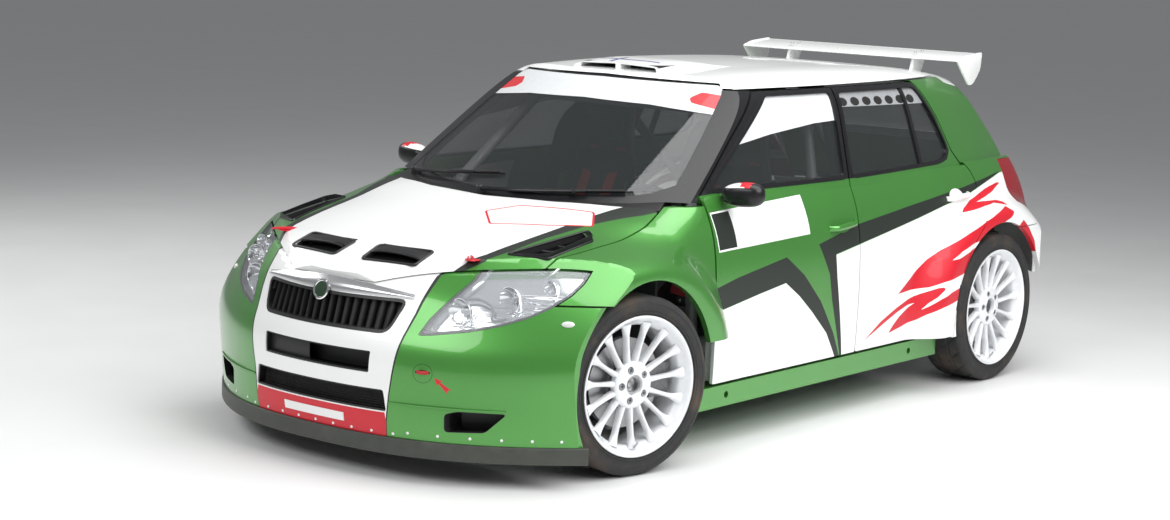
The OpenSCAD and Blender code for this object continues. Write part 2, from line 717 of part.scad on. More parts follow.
module exhaust() {
    color("#8b8d90") {
        translate([-180 * sx, -1200 * sy, 128 * sz])
            rotate([-90, 0, 0])
                cylinder(r = 30, h = 2090 * sy, $fn = 32);
        tube([-180 * sx, 880 * sy, 128 * sz], [-180 * sx, 1310 * sy, 205 * sz], 66, 32);
        translate([-180 * sx, 1290 * sy, 205 * sz])
            rotate([-90, 0, 0])
                cylinder(r = 37, h = 300 * sy, $fn = 32);
        translate([-180 * sx, 1520 * sy, 250 * sz])
            rotate([-90, 0, 0])
                cylinder(r = 85, h = 320 * sy, $fn = 48);
        tube([-180 * sx, 1830 * sy, 240 * sz], [-180 * sx, 1985 * sy, 210 * sz], 76, 32);
    }
}
module roll_cage() {
    half = [[[600, 190, 180.4], [600, 190, 900], 0], [[600, 190, 900], [505, 250, 1215], 0], [[505, 250, 1215], [-2, 250, 1215], 0],
        [[590, -560, 183], [585, -600, 850], 0], [[585, -600, 850], [478, -240, 1200], 0],
        [[478, -240, 1200], [-2, -240, 1200], 0], [[478, -240, 1200], [505, 250, 1215], 3],
        [[505, 250, 1215], [470, 1180, (415 * sz + cage_d / 2 + 3.9) / sz], 3],
        [[614, -570, 520], [614, 190, 300], 6]];
    color("#c9cbcd") {
                both()
                    for (m = half) {
                        a = [m[0][0] * sx, m[0][1] * sy, m[0][2] * sz];
                        b = [m[1][0] * sx, m[1][1] * sy, m[1][2] * sz];
                        tube(a, b, cage_d - m[2], 32);
                        translate(b)
                            sphere(d = cage_d + 7, $fn = 32);
                    }
                tube([595 * sx, 190 * sy, 300 * sz], [-500 * sx, 248 * sy, 1203 * sz], cage_d - 4, 32);
            }
}
module bucket_seat() {
    for (s = [-1, 1])
        translate([s * 225 - 14, 0, 0])
            rotate([90, 0, 90])
                linear_extrude(height = 28)
                    polygon([[-480, 330], [-420, 455], [-100, 470], [60, 640], [110, 1080], [60, 1130], [150, 1130],
                        [190, 1060], [90, 500], [40, 330]] * [[sy, 0], [0, sz]]);
    translate([-211, 0, 0])
        rotate([90, 0, 90])
            linear_extrude(height = 422)
                polygon([[-480, 330], [-470, 380], [-60, 360], [100, 1060], [170, 1060], [60, 330]] * [[sy, 0], [0, sz]]);
    translate([-160, 0, 0])
        rotate([90, 0, 90])
            linear_extrude(height = 320)
                polygon([[98, 1050], [112, 1170], [176, 1170], [170, 1050]] * [[sy, 0], [0, sz]]);
    for (s = [-1, 1])
        translate([s * 170 - 15, -430 * sy, 180.3 * sz])
            cube([30, 420 * sy, 150 * sz]);
}
module bucket_seats() {
    color("#1f2a20")
        for (s = [-1, 1])
            translate([s * seat_x * sx, -35 * sy, 0])
                bucket_seat();
}
module dashboard() {
    color("#141517") {
            translate([-600 * sx, 0, 0])
                rotate([90, 0, 90])
                    linear_extrude(height = 1200 * sx)
                        polygon([[-866, 560], [-866, 866], [-800, 874], [-700, 850], [-670, 780], [-700, 640], [-820, 560]]
                            * [[sy, 0], [0, sz]]);
        tube([seat_x * sx, -760 * sy, 680 * sz], [seat_x * sx, -520 * sy, 756 * sz], 50, 32);
        tube([0, -790 * sy, 300.3 * sz], [0, -790 * sy, 600 * sz], 90, 32);
    }
}
module steering_wheel() {
    color("#17181a")
        translate([seat_x * sx, -503 * sy, 761.5 * sz])
            rotate([-72.4, 0, 0])
                rotate([0, 0, 0]) {
                    rotate_extrude($fn = 72)
                        translate([helm_d / 2 - 15, 0])
                            circle(d = 30, $fn = 24);
                    cylinder(r = 42, h = 24, center = true, $fn = 40);
                    for (a = [0, 120, 240])
                        rotate([0, 0, a + 90])
                            translate([30, -16, -4])
                                cube([helm_d / 2 - 52, 32, 8]);
                }
}
module suspension() {
    color("#303235") {
        block([-360, -1300, 170], [360, -1170, 215]);
        for (s = [-1, 1]) {
            tube([s * 350 * sx, -1285 * sy, 190 * sz], [s * (king_x - 24), front_y, wheel_z - 168], 34, 24);
            tube([s * 350 * sx, -1180 * sy, 190 * sz], [s * (king_x - 24), front_y, wheel_z - 168], 30, 24);
            translate([s * (king_x - 12), front_y, wheel_z - 178])
                cylinder(r = 20, h = 27.7, $fn = 32);
            tube([s * 400 * sx - 14, front_y, 365 * sz], [s * 400 * sx + 14, front_y, 365 * sz], 29, 24);
            tube([s * 480 * sx, 880 * sy + 6.5, 230 * sz], [s * 560 * sx, rear_y, wheel_z - 50], 46, 24);
            translate([s > 0 ? 540 * sx : -(wheel_x - 17), rear_y, wheel_z])
                rotate([0, 90, 0])
                    cylinder(r = 58, h = wheel_x - 17 - 540 * sx, $fn = 40);
            translate([s * (566 * sx + 26), rear_y, wheel_z])
                cylinder(r = 24, h = 640 * sz - wheel_z, $fn = 32);
        }
        tube([-570 * sx, rear_y, wheel_z - 30], [570 * sx, rear_y, wheel_z - 30], 60, 32);
    }
}
// Hub carrier, brake caliper and damper leg, left side, straight ahead
module knuckle() {
    color("#4a4d50") {
        along_x(wheel_x - 118, wheel_x - 17, front_y, wheel_z, 58, 40);
        translate([wheel_x - 170, front_y - 30, wheel_z - 30])
            cube([70, 60, 90]);
        translate([king_x - 20, front_y - 20, wheel_z - 150])
            cube([40, 40, 110]);
        translate([wheel_x - 152, front_y, wheel_z])
            cylinder(r = 27, h = 738 * sz - wheel_z, $fn = 32);
        translate([wheel_x - 152, front_y, wheel_z + 190])
            cylinder(r = 45, h = 14, $fn = 40);
    }
    color("#8f1d1d") {
        translate([wheel_x - 40, front_y + 100, wheel_z - 60])
            cube([23, 86, 120]);
        translate([wheel_x + 22.5, front_y + 100, wheel_z - 60])
            cube([13, 86, 120]);
        translate([wheel_x - 40, front_y + 172, wheel_z - 60])
            cube([75.5, 14, 120]);
        translate([wheel_x - 60, front_y + 30, wheel_z - 20])
            cube([30, 110, 40]);
    }
}
module steered(s) {
    translate([s * king_x, front_y, 0])
        rotate([0, 0, steer_rest])
            translate([-s * king_x, -front_y, 0])
                children();
}
module knuckle_left() {
    steered(1)
        knuckle();
}
module knuckle_right() {
    steered(-1)
        mirror([1, 0, 0])
            knuckle();
}
// Rim, hub and brake disc with the face outwards along +x
module rim() {
    r = rim_d / 2;
    w = tyre_w;
    color("#eef1f4") {
        rotate([0, 90, 0])
            rotate_extrude($fn = 96)
                polygon([[r - 26, -w / 2 + 8], [r - 2, -w / 2 + 2], [r, -w / 2 + 8], [r - 14, -w / 2 + 20], [r - 18, w / 2 - 24],
                    [r, w / 2 - 10], [r, w / 2 - 4], [r - 12, w / 2 - 6], [r - 34, w / 2 - 30], [r - 34, -w / 2 + 30]]);
        for (i = [0 : spokes - 1])
            rotate([i * 360 / spokes, 0, 0])
                translate([w / 2 - 44, -8, 60])
                    cube([24, 16, r - 92]);
        rotate([0, 90, 0])
            translate([0, 0, w / 2 - 60])
                difference() {
                    cylinder(r = 82, h = 36, $fn = 64);
                    translate([0, 0, 10])
                        cylinder(r = 34, h = 40, $fn = 40);
                    for (i = [0 : 4])
                        rotate([0, 0, i * 72 + 36])
                            translate([56, 0, 20])
                                cylinder(r = 13, h = 30, $fn = 24);
                }
    }
    color("#77797b")
        rotate([0, 90, 0]) {
            translate([0, 0, -10])
                cylinder(r = 48, h = w / 2 - 50.2, $fn = 40);
            translate([0, 0, -10])
                cylinder(r = 160, h = 26, $fn = 72);
        }
}
module tyre() {
    r = rim_d / 2;
    w = tyre_w;
    k = tyre_d / 2;
    color("#1b1b1c")
        rotate([0, 90, 0])
            rotate_extrude($fn = 96)
                polygon([[r + 0.3, -w / 2 + 14], [r + 16, -w / 2 + 1], [r + 34, -w / 2], [k - 20, -w / 2 + 4], [k - 6, -w / 2 + 14],
                    [k, -w / 2 + 30], [k, w / 2 - 30], [k - 6, w / 2 - 14], [k - 20, w / 2 - 4], [r + 34, w / 2], [r + 16, w / 2 - 1],
                    [r + 0.3, w / 2 - 14]]);
}
module at_wheel(s, y) {
    translate([s * wheel_x, y, wheel_z])
        rotate([0, 0, s > 0 ? 0 : 180])
            children();
}
module rim_front_left() {
    steered(1)
        at_wheel(1, front_y)
            rim();
}
module rim_front_right() {
    steered(-1)
        at_wheel(-1, front_y)
            rim();
}
module rim_rear_left() {
    at_wheel(1, rear_y)
        rim();
}
module rim_rear_right() {
    at_wheel(-1, rear_y)
        rim();
}
module tyre_front_left() {
    steered(1)
        at_wheel(1, front_y)
            tyre();
}
module tyre_front_right() {
    steered(-1)
        at_wheel(-1, front_y)
            tyre();
}
module tyre_rear_left() {
    at_wheel(1, rear_y)
        tyre();
}
module tyre_rear_right() {
    at_wheel(-1, rear_y)
        tyre();
}
module tailgate() {
    color("#f2f2f0")
        skin()
            both()
                difference() {
                    union() {
                        intersection() {
                            difference() {
                                cabin_solid(0);
                                cabin_solid(30);
                            }
                            ahead_of_tail(0);
                            block([-20, 1340, 1200], [900, 1800, 1500]);
                        }
                        intersection() {
                            tail_panel(34, 712 * sz, 1345 * sz, -10 * sx, 640 * sx, 12);
                            cabin_or_flank();
                        }
                    }
                    difference() {
                        block([-100, 1000, 0], [1000, 2200, 1500]);
                        front_cut(tailgate_line, 1300, 2100, -gap);
                    }
                    block([-20, 1000, 1000], [900, 1340 + 6.4 / sy, 1500]);
                    front_cut(rear_glass_line, 1300, 2100, 0);
                }
}
module cabin_or_flank() {
    cabin_solid(0);
    block([-20, 1600, 600], [800, 2100, 960]);
}
module tailgate_glass() {
    color("#2b3338")
        skin()
            both()
                intersection() {
                    tail_panel(8 + glass_t, 980 * sz, 1260 * sz, 0, 500 * sx, 10);
                    ahead_of_tail(8);
                    front_cut(rear_glass_line, 1300, 2100, -seat_air);
                }
}
module rear_wing() {
    span = 1130 * sx;
    color("#f4f4f2") {
        translate([-span / 2, 1342 * sy, 1348 * sz])
            rotate([90, 0, 90])
                linear_extrude(height = span)
                    polygon([[0, 6], [30, 18], [90, 24], [150, 26], [200, 36], [202, 30], [150, 12], [90, 6], [30, 2]]);
        for (s = [-1, 1])
            translate([s * (span / 2 + 4) - 4, 1342 * sy, 1348 * sz])
                rotate([90, 0, 90])
                    linear_extrude(height = 8)
                        polygon([[0, 10], [70, 28], [216, 40], [200, -40], [150, -96], [112, -104], [44, -36]]);
        skin()
            difference() {
                for (s = [-1, 1])
                    translate([s * 330 * sx - 8, 1346 * sy, 1290 * sz])
                        rotate([90, 0, 90])
                            linear_extrude(height = 16)
                                polygon([[4, -16], [74, -30], [130, 72 * sz], [30, 65 * sz]]);
                translate([0, 0, 0.4])
                    both()
                        cabin_solid(0);
            }
    }
}
module wipers() {
    near = [for (i = [0 : 5]) let(x = mix(-60, 520, i / 5) * sx, z = mix(900, 932, i / 5) * sz) [x, screen_y(x, z) - 24, z]];
    far = [for (i = [0 : 5]) let(x = mix(-560, -20, i / 5) * sx, z = mix(898, 958, i / 5) * sz) [x, screen_y(x, z) - 24, z]];
    color("#141517")
        skin() {
            difference() {
                both()
                    intersection() {
                        translate([0, 0, -8])
                            difference() {
                                inside_front(0);
                                inside_front(14);
                            }
                        plan_cut([[-20, -1103], [300, -1063], [500, -991], [664, -903], [640, -842], [480, -930], [300, -1000], [-20, -1050]],
                            500, 1000, -0.5);
                    }
                both()
                    behind_screen(-2);
            }
            for (p = [near, far]) {
                for (i = [0 : 4])
                    tube(p[i], p[i + 1], 14, 10);
                for (i = [1 : 4])
                    translate(p[i])
                        sphere(d = 15, $fn = 10);
                translate([p[0][0], p[0][1] - 14, 862 * sz])
                    cylinder(d = 20, h = p[0][2] - 862 * sz, $fn = 16);
            }
        }
}

bonnet();
front_bumper();
splitter();
grille();
headlamps();
front_wings();
door_front_left();
door_front_right();
door_rear_left();
door_rear_right();
glass_front_left();
glass_front_right();
glass_rear_left();
glass_rear_right();
mirror_left();
mirror_right();
rear_quarters();
sills();
pillars();
roof();
rear_wing();
tailgate();
tailgate_glass();
rear_bumper();
tail_lamps();
windscreen();
wipers();
floor_pan();
front_frame();
engine_block();
exhaust();
roll_cage();
bucket_seats();
dashboard();
steering_wheel();
suspension();
knuckle_left();
knuckle_right();
rim_front_left();
rim_front_right();
rim_rear_left();
rim_rear_right();
tyre_front_left();
tyre_front_right();
tyre_rear_left();
tyre_rear_right();
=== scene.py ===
import bpy, bmesh, math
import numpy as np
from mathutils import Matrix, Vector


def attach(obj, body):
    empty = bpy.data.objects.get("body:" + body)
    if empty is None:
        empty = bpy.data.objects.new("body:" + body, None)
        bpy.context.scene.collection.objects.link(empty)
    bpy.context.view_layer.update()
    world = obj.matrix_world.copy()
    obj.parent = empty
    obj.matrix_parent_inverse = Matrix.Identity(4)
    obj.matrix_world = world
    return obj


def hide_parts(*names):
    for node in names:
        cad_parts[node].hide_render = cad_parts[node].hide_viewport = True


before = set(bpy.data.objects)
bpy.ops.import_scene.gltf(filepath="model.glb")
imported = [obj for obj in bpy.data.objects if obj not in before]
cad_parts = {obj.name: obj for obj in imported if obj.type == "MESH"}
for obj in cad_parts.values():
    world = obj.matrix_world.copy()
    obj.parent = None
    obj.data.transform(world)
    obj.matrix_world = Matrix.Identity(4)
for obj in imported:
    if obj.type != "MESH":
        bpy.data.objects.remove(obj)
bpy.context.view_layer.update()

K = 0.001
SCENE = bpy.context.scene

# ---------------------------------------------------------------- body shape, in millimetres
width_line = [[-2000, 780], [-1600, 786], [-1400, 802], [-1100, 812], [-700, 815], [300, 818],
              [900, 815], [1300, 808], [1600, 785], [1800, 745], [2000, 700]]
flank_line = [[130, 18], [230, 4], [400, 0], [600, 2], [700, 8], [780, 22], [840, 42], [900, 70], [960, 105]]
bonnet_line = [[-1990, 600], [-1930, 650], [-1900, 675], [-1830, 715], [-1730, 755], [-1664, 775],
               [-1450, 822], [-1240, 863], [-1050, 895], [-850, 915], [-700, 925]]
wing_base_line = [[-2000, 420], [-1664, 480], [-1240, 580], [-900, 620], [-700, 620]]
wing_power_line = [[-2000, 2.8], [-1664, 3], [-1240, 3.2], [-900, 4.4], [-700, 5]]
nose_line = [[130, -1955], [200, -1970], [300, -1980], [400, -1991], [460, -1986], [520, -1966],
             [580, -1950], [625, -1936], [670, -1910], [720, -1870], [800, -1790]]
nose_sweep = [[130, 400], [500, 400], [690, 520], [800, 560]]
nose_power = [[150, 2.6], [500, 2], [620, 1.85], [800, 1.8]]
tail_line = [[130, 1890], [220, 1955], [330, 1985], [450, 1991], [600, 1980], [700, 1942], [780, 1902],
             [900, 1830], [1000, 1752], [1150, 1606], [1290, 1462], [1345, 1396]]
tail_sweep = [[130, 292], [560, 300], [720, 268], [900, 250], [1290, 235], [1345, 235]]
waist_line = [[-1000, 690], [-850, 706], [-500, 730], [0, 742], [500, 742], [1000, 726], [1400, 690],
              [1700, 640]]
roof_line = [[-450, 1322], [-300, 1331], [0, 1341], [400, 1345], [900, 1336], [1200, 1318], [1450, 1290]]
tumble_line = [[-900, 0.36], [-300, 0.37], [200, 0.33], [900, 0.36], [1400, 0.42]]
# from the CAD: wheel centres, the king pins' x, the front wheels' steer at rest in degrees, the arches
FRONT_Y, REAR_Y, WHEEL_Z, WHEEL_X, KING_X, STEER = -1243.0, 1243.0, 319.0, 788.5, 738.5, -11.4
ARCH_R, GAP, SKIN = 371.0, 3.2, 22.0
# the flare over each wheel is full inside one radius and gone outside the other
FLARE_FULL_R, FLARE_END_R, FLARE_SPLIT_Y = 385, 540, -743


def curve(t, p):
    """Smooth curve through the points p, at t; flat beyond both ends."""
    t = np.asarray(t, float)
    x = np.array([q[0] for q in p], float)
    v = np.array([q[1] for q in p], float)
    n = len(p)
    m = np.array([(v[min(n - 1, i + 1)] - v[max(0, i - 1)]) / (x[min(n - 1, i + 1)] - x[max(0, i - 1)])
                  for i in range(n)])
    i = np.clip(np.searchsorted(x, t, side="right") - 1, 0, n - 2)
    h = x[i + 1] - x[i]
    u = np.clip((t - x[i]) / h, 0, 1)
    return (v[i] * (2 * u**3 - 3 * u**2 + 1) + m[i] * h * (u**3 - 2 * u**2 + u)
            + v[i + 1] * (3 * u**2 - 2 * u**3) + m[i + 1] * h * (u**3 - u**2))


def ramp(t, a, b):
    """0 below a, 1 above b, eased between."""
    u = np.clip((np.asarray(t, float) - a) / (b - a), 0, 1)
    return u * u * (3 - 2 * u)


def flare_at(y, z, yc, ahead, behind):
    dy = (y - yc) * np.where(y < yc, ahead, behind)
    dz = np.maximum(z - WHEEL_Z, (WHEEL_Z - z) * 0.6)
    return 1 - ramp(np.sqrt(dy * dy + dz * dz), FLARE_FULL_R, FLARE_END_R)


def flare(y, z):
    return np.where(y < FLARE_SPLIT_Y, flare_at(y, z, FRONT_Y, 0.7, 0.85), flare_at(y, z, REAR_Y, 0.85, 0.75))


def side_x(y, z):
    """Half width of the lower body, with its flares and the wings' crown."""
    y, z = np.broadcast_arrays(np.asarray(y, float), np.asarray(z, float))
    w, n = curve(y, width_line), curve(y, wing_power_line)
    zb, zc = curve(y, wing_base_line), curve(y, bonnet_line)
    t = np.clip((z - zb) / (zc - zb), 0, 1)
    flank = w - curve(z, flank_line)
    crown = np.minimum(flank + 12, w * np.maximum(0, 1 - t**n)**(1 / n))
    b = ramp(y, -1000, -760)
    base = crown + (flank - crown) * b
    return base + np.maximum(0, 905 - base) * flare(y, z) * (1 - ramp(z, 720, 860))


def nose_y(x, z):
    return curve(z, nose_line) + curve(z, nose_sweep) * np.minimum(1, np.abs(x) / 900)**curve(z, nose_power)


def tail_y(x, z):
    return curve(z, tail_line) - curve(z, tail_sweep) * (np.abs(x) / 800)**2.4


def screen_y(x, z):
    return -1100 + 1.545 * (np.asarray(z, float) - 870) + 220 * (np.asarray(x, float) / 660)**2


def cabin_x(y, z):
    """Half width of the cabin above the waist."""
    zr = curve(y, roof_line)
    t = np.clip((z - 960) / (zr - 960), 0, 1)
    return (curve(y, waist_line) - curve(y, tumble_line) * (z - 915)) * np.maximum(0, 1 - t**7)**(1 / 7)


def section_offset(p, t):
    """Moves a section curve, from its foot to the centre line, inwards by t."""
    d = np.empty_like(p)
    d[1:-1] = p[2:] - p[:-2]
    d[0] = p[1] - p[0]
    d[-1] = (-1, 0)
    d /= np.linalg.norm(d, axis=1)[:, None]
    q = p + np.stack([-d[:, 1], d[:, 0]], 1) * t
    q[:, 0] = np.maximum(q[:, 0], 0)
    q[-1, 0] = 0
    return q


def both_sides(q, y):
    left = np.stack([q[:, 0], np.full(len(q), y), q[:, 1]], 1)
    right = left[:-1][::-1] * (-1, 1, 1)
    return np.concatenate([left, right])


def nose_profile(y):
    zb, zc = float(curve(y, wing_base_line)), float(curve(y, bonnet_line))
    s = np.linspace(0, 1, 27)[1:-1]
    zs = np.concatenate([np.linspace(130, zb, 15), zb + (zc - zb) * (1 - (1 - s)**2)])
    p = np.stack([side_x(y, zs), zs], 1)
    k = np.linspace(1, 0, 12)[1:]
    top = np.stack([p[-1, 0] * k, zc + (p[-1, 1] - zc) * k**2], 1)
    return np.concatenate([p, top])


def cabin_profile(y):
    zr = float(curve(y, roof_line))
    a = np.radians(np.linspace(12, 87, 34))
    z2 = 960 + (zr - 960) * np.sin(a)**(2 / 7)
    z1 = np.linspace(870, z2[0], 14)[:-1]
    zs = np.concatenate([z1, z2])
    p = np.stack([cabin_x(y, zs), zs], 1)
    k = np.linspace(1, 0, 12)[1:]
    top = np.stack([p[-1, 0] * k, zr + 3 + (p[-1, 1] - zr - 3) * k**2], 1)
    return np.concatenate([p, top])


# ---------------------------------------------------------------- meshes
def add_mesh(name, verts, faces, scale=K):
    me = bpy.data.meshes.new(name)
    me.from_pydata([tuple(v) for v in np.asarray(verts, float) * scale], [], [tuple(f) for f in faces])
    me.update()
    ob = bpy.data.objects.new(name, me)
    SCENE.collection.objects.link(ob)
    return ob


def volume(ob):
    bm = bmesh.new()
    bm.from_mesh(ob.data)
    v = bm.calc_volume(signed=True)
    bm.free()
    return v


def outward(ob):
    if volume(ob) < 0:
        ob.data.flip_normals()
    return ob


def between(name, a, b):
    """Closed solid between two grids of points."""
    n, m = a.shape[:2]
    k = n * m
    f = []
    for i in range(n - 1):
        for j in range(m - 1):
            p, q = i * m + j, (i + 1) * m + j
            if np.linalg.norm(a[i, j] - a[i + 1, j + 1]) <= np.linalg.norm(a[i + 1, j] - a[i, j + 1]):
                f += [(p, p + 1, q + 1), (p, q + 1, q)]
                f += [(k + q + 1, k + p + 1, k + p), (k + q, k + q + 1, k + p)]
            else:
                f += [(p, p + 1, q), (p + 1, q + 1, q)]
                f += [(k + q, k + p + 1, k + p), (k + q, k + q + 1, k + p + 1)]
        p, q = i * m, (i + 1) * m
        f += [(p, q, k + q, k + p), (p + m - 1, k + p + m - 1, k + q + m - 1, q + m - 1)]
    q = (n - 1) * m
    for j in range(m - 1):
        f += [(j + 1, j, k + j, k + j + 1), (q + j, q + j + 1, k + q + j + 1, k + q + j)]
    return outward(add_mesh(name, np.concatenate([a.reshape(-1, 3), b.reshape(-1, 3)]), f))


def rounded(points, r=10.0, steps=4, closed=True):
    """Outline with each corner turned into a short curve."""
    n = len(points)
    p = [np.array(q, float) for q in points]
    out = []
    for i in range(n):
        a, b, c = p[i - 1], p[i], p[(i + 1) % n]
        if not closed and i in (0, n - 1):
            out.append(b)
            continue
        la, lc = np.linalg.norm(a - b), np.linalg.norm(c - b)
        s, e = b + (a - b) / la * min(r, la * 0.48), b + (c - b) / lc * min(r, lc * 0.48)
        for k in range(steps + 1):
            u = k / steps
            out.append((1 - u)**2 * s + 2 * u * (1 - u) * b + u * u * e)
    return out


def grown(points, g):
    """Outline moved outwards by g, or inwards where g is below 0."""
    p = [np.array(q, float) for q in points]
    area = sum(p[i - 1][0] * p[i][1] - p[i][0] * p[i - 1][1] for i in range(len(p)))
    s = 1 if area > 0 else -1
    out = []
    for i in range(len(p)):
        a, b, c = p[i - 1], p[i], p[(i + 1) % len(p)]
        u, v = b - a, c - b
        if np.linalg.norm(u) < 1e-6 or np.linalg.norm(v) < 1e-6:
            continue
        u, v = u / np.linalg.norm(u), v / np.linalg.norm(v)
        nu, nv = np.array([u[1], -u[0]]) * s, np.array([v[1], -v[0]]) * s
        h = nu + nv
        h = h / max(0.35, float(h @ nu) ) if np.linalg.norm(h) > 1e-6 else nu
        out.append(b + h * g)
    return out


def prism(points, axis, lo, hi, grow=0.0):
    pts = grown(points, grow) if grow else [np.array(q, float) for q in points]
    n = len(pts)
    v = []
    for w in (lo, hi):
        for p in pts:
            v.append({"x": (w, p[0], p[1]), "y": (p[0], w, p[1]), "z": (p[0], p[1], w)}[axis])
    f = [tuple(range(n)), tuple(range(2 * n - 1, n - 1, -1))]
    f += [(i, (i + 1) % n, n + (i + 1) % n, n + i) for i in range(n)]
    ob = add_mesh("cutter", v, f)
    bm = bmesh.new()
    bm.from_mesh(ob.data)
    bmesh.ops.triangulate(bm, faces=[q for q in bm.faces if len(q.verts) > 4], ngon_method="EAR_CLIP")
    bmesh.ops.recalc_face_normals(bm, faces=bm.faces)
    bm.to_mesh(ob.data)
    bm.free()
    return outward(ob)


def block(a, b):
    v = [(x, y, z) for x in (a[0], b[0]) for y in (a[1], b[1]) for z in (a[2], b[2])]
    return outward(add_mesh("cutter", v, [(0, 1, 3, 2), (4, 6, 7, 5), (0, 4, 5, 1), (2, 3, 7, 6), (0, 2, 6, 4),
                                          (1, 5, 7, 3)]))


def barrel(x0, x1, yc, zc, r, n=128):
    a = np.linspace(0, 2 * np.pi, n, endpoint=False)
    return prism([(yc + r * np.cos(t), zc + r * np.sin(t)) for t in a], "x", x0, x1)


def boolean(a, b, op):
    m = a.modifiers.new("b", "BOOLEAN")
    m.operation, m.object, m.solver = op, b, "MANIFOLD"
    bpy.context.view_layer.update()
    me = bpy.data.meshes.new_from_object(a.evaluated_get(bpy.context.evaluated_depsgraph_get()))
    a.modifiers.clear()
    old = a.data
    a.data = me
    bpy.data.meshes.remove(old)
    bpy.data.objects.remove(b)
    return a


def cut(a, *tools):
    for b in tools:
        boolean(a, b, "DIFFERENCE")
    return a


def keep(a, *tools):
    for b in tools:
        boolean(a, b, "INTERSECT")
    return a


def weld(a, *tools):
    for b in tools:
        boolean(a, b, "UNION")
    return a


def mirrored(ob, name):
    me = ob.data.copy()
    me.transform(Matrix.Scale(-1, 4, (1, 0, 0)))
    me.flip_normals()
    o = bpy.data.objects.new(name, me)
    SCENE.collection.objects.link(o)
    return o


def join(name, obs):
    """One object from several, materials kept."""
    bm = bmesh.new()
    mats = []
    for o in obs:
        index = {}
        for i, s in enumerate(o.material_slots):
            if s.material not in mats:
                mats.append(s.material)
            index[i] = mats.index(s.material)
        base = len(bm.faces)
        bm.from_mesh(o.data)
        bm.faces.ensure_lookup_table()
        for q in bm.faces[base:]:
            q.material_index = index.get(q.material_index, 0)
    me = bpy.data.meshes.new(name)
    bm.to_mesh(me)
    bm.free()
    for m in mats:
        me.materials.append(m)
    for o in obs:
        bpy.data.objects.remove(o)
    ob = bpy.data.objects.new(name, me)
    SCENE.collection.objects.link(ob)
    return ob


def paint(ob, outline, axis, mat, lo=-1e9, hi=1e9, inner=False):
    """Cuts the outline into the faces it covers and gives those inside it a material."""
    k = {"x": (1, 2, 0), "y": (0, 2, 1), "z": (0, 1, 2)}[axis]
    pts = [np.array(p, float) * K for p in outline]
    box = np.array(pts)
    low, high = box.min(0) - 0.0005, box.max(0) + 0.0005
    bm = bmesh.new()
    bm.from_mesh(ob.data)

    def near(q, a, b):
        us = [v.co[k[0]] for v in q.verts]
        if max(us) < a[0] or min(us) > b[0]:
            return False
        vs = [v.co[k[1]] for v in q.verts]
        if max(vs) < a[1] or min(vs) > b[1]:
            return False
        return lo * K <= q.verts[0].co[k[2]] <= hi * K

    live = {q for q in bm.faces if near(q, low, high)}
    for i in range(len(pts)):
        p, q = pts[i - 1], pts[i]
        d = q - p
        if np.linalg.norm(d) < 1e-7:
            continue
        hit = [f for f in live if near(f, np.minimum(p, q) - 1e-4, np.maximum(p, q) + 1e-4)]
        if not hit:
            continue
        co, no = Vector((0, 0, 0)), Vector((0, 0, 0))
        co[k[0]], co[k[1]] = p
        no[k[0]], no[k[1]] = -d[1], d[0]
        es = {e for f in hit for e in f.edges}
        vs = {v for f in hit for v in f.verts}
        r = bmesh.ops.bisect_plane(bm, geom=list(vs) + list(es) + hit, plane_co=co, plane_no=no.normalized(),
                                   dist=2e-6)
        live = {f for f in live if f.is_valid} | {f for f in r["geom"] if isinstance(f, bmesh.types.BMFace)
            and f.is_valid}
    slot = ob.data.materials.find(mat.name)
    if slot < 0:
        ob.data.materials.append(mat)
        slot = len(ob.data.materials) - 1
    ring = np.array(pts)
    for f in live:
        if not f.is_valid:
            continue
        c = f.calc_center_median()
        if not (lo * K <= c[k[2]] <= hi * K):
            continue
        u, v = c[k[0]], c[k[1]]
        a, b = ring, np.roll(ring, 1, 0)
        cross = (a[:, 1] > v) != (b[:, 1] > v)
        with np.errstate(divide="ignore", invalid="ignore"):
            xs = a[:, 0] + (v - a[:, 1]) * (b[:, 0] - a[:, 0]) / (b[:, 1] - a[:, 1])
        if int((cross & (u < xs)).sum()) % 2:
            f.material_index = slot
    bm.to_mesh(ob.data)
    bm.free()
    return ob


def smooth(ob, angle=32):
    me = ob.data
    me.polygons.foreach_set("use_smooth", np.ones(len(me.polygons), bool))
    me.set_sharp_from_angle(angle=math.radians(angle))
    me.update()
    return ob


def done(ob, body, nodes=(), mats=(), slot=None, angle=32):
    """Last step of a piece: materials, shading, its body and the CAD nodes it stands for."""
    for m in mats:
        if ob.data.materials.find(m.name) < 0:
            ob.data.materials.append(m)
    if ob.type == "MESH":
        smooth(ob, angle)
    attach(ob, body)
    if nodes:
        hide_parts(*nodes)
    return ob


def base_material(ob, mat):
    """Puts mat in the first slot of a piece with no material yet."""
    ob.data.materials.clear()
    ob.data.materials.append(mat)
    for p in ob.data.polygons:
        p.material_index = 0
    return ob


def lathe(name, profile, n=96, centre=(0, 0, 0), axis="x", closed=True):
    """Solid of revolution: profile points are (along the axis, radius)."""
    p = np.array(profile, float)
    m = len(p)
    a = np.linspace(0, 2 * np.pi, n, endpoint=False)
    v = []
    for t in a:
        for q in p:
            c, s = q[1] * math.cos(t), q[1] * math.sin(t)
            v.append({"x": (q[0], c, s), "y": (c, q[0], s), "z": (c, s, q[0])}[axis])
    v = np.array(v) + np.array(centre, float)
    f = []
    for i in range(n):
        j = (i + 1) % n
        for k in range(m if closed else m - 1):
            l = (k + 1) % m
            f.append((i * m + k, i * m + l, j * m + l, j * m + k))
    return outward(add_mesh(name, v, f)) if closed else add_mesh(name, v, f)


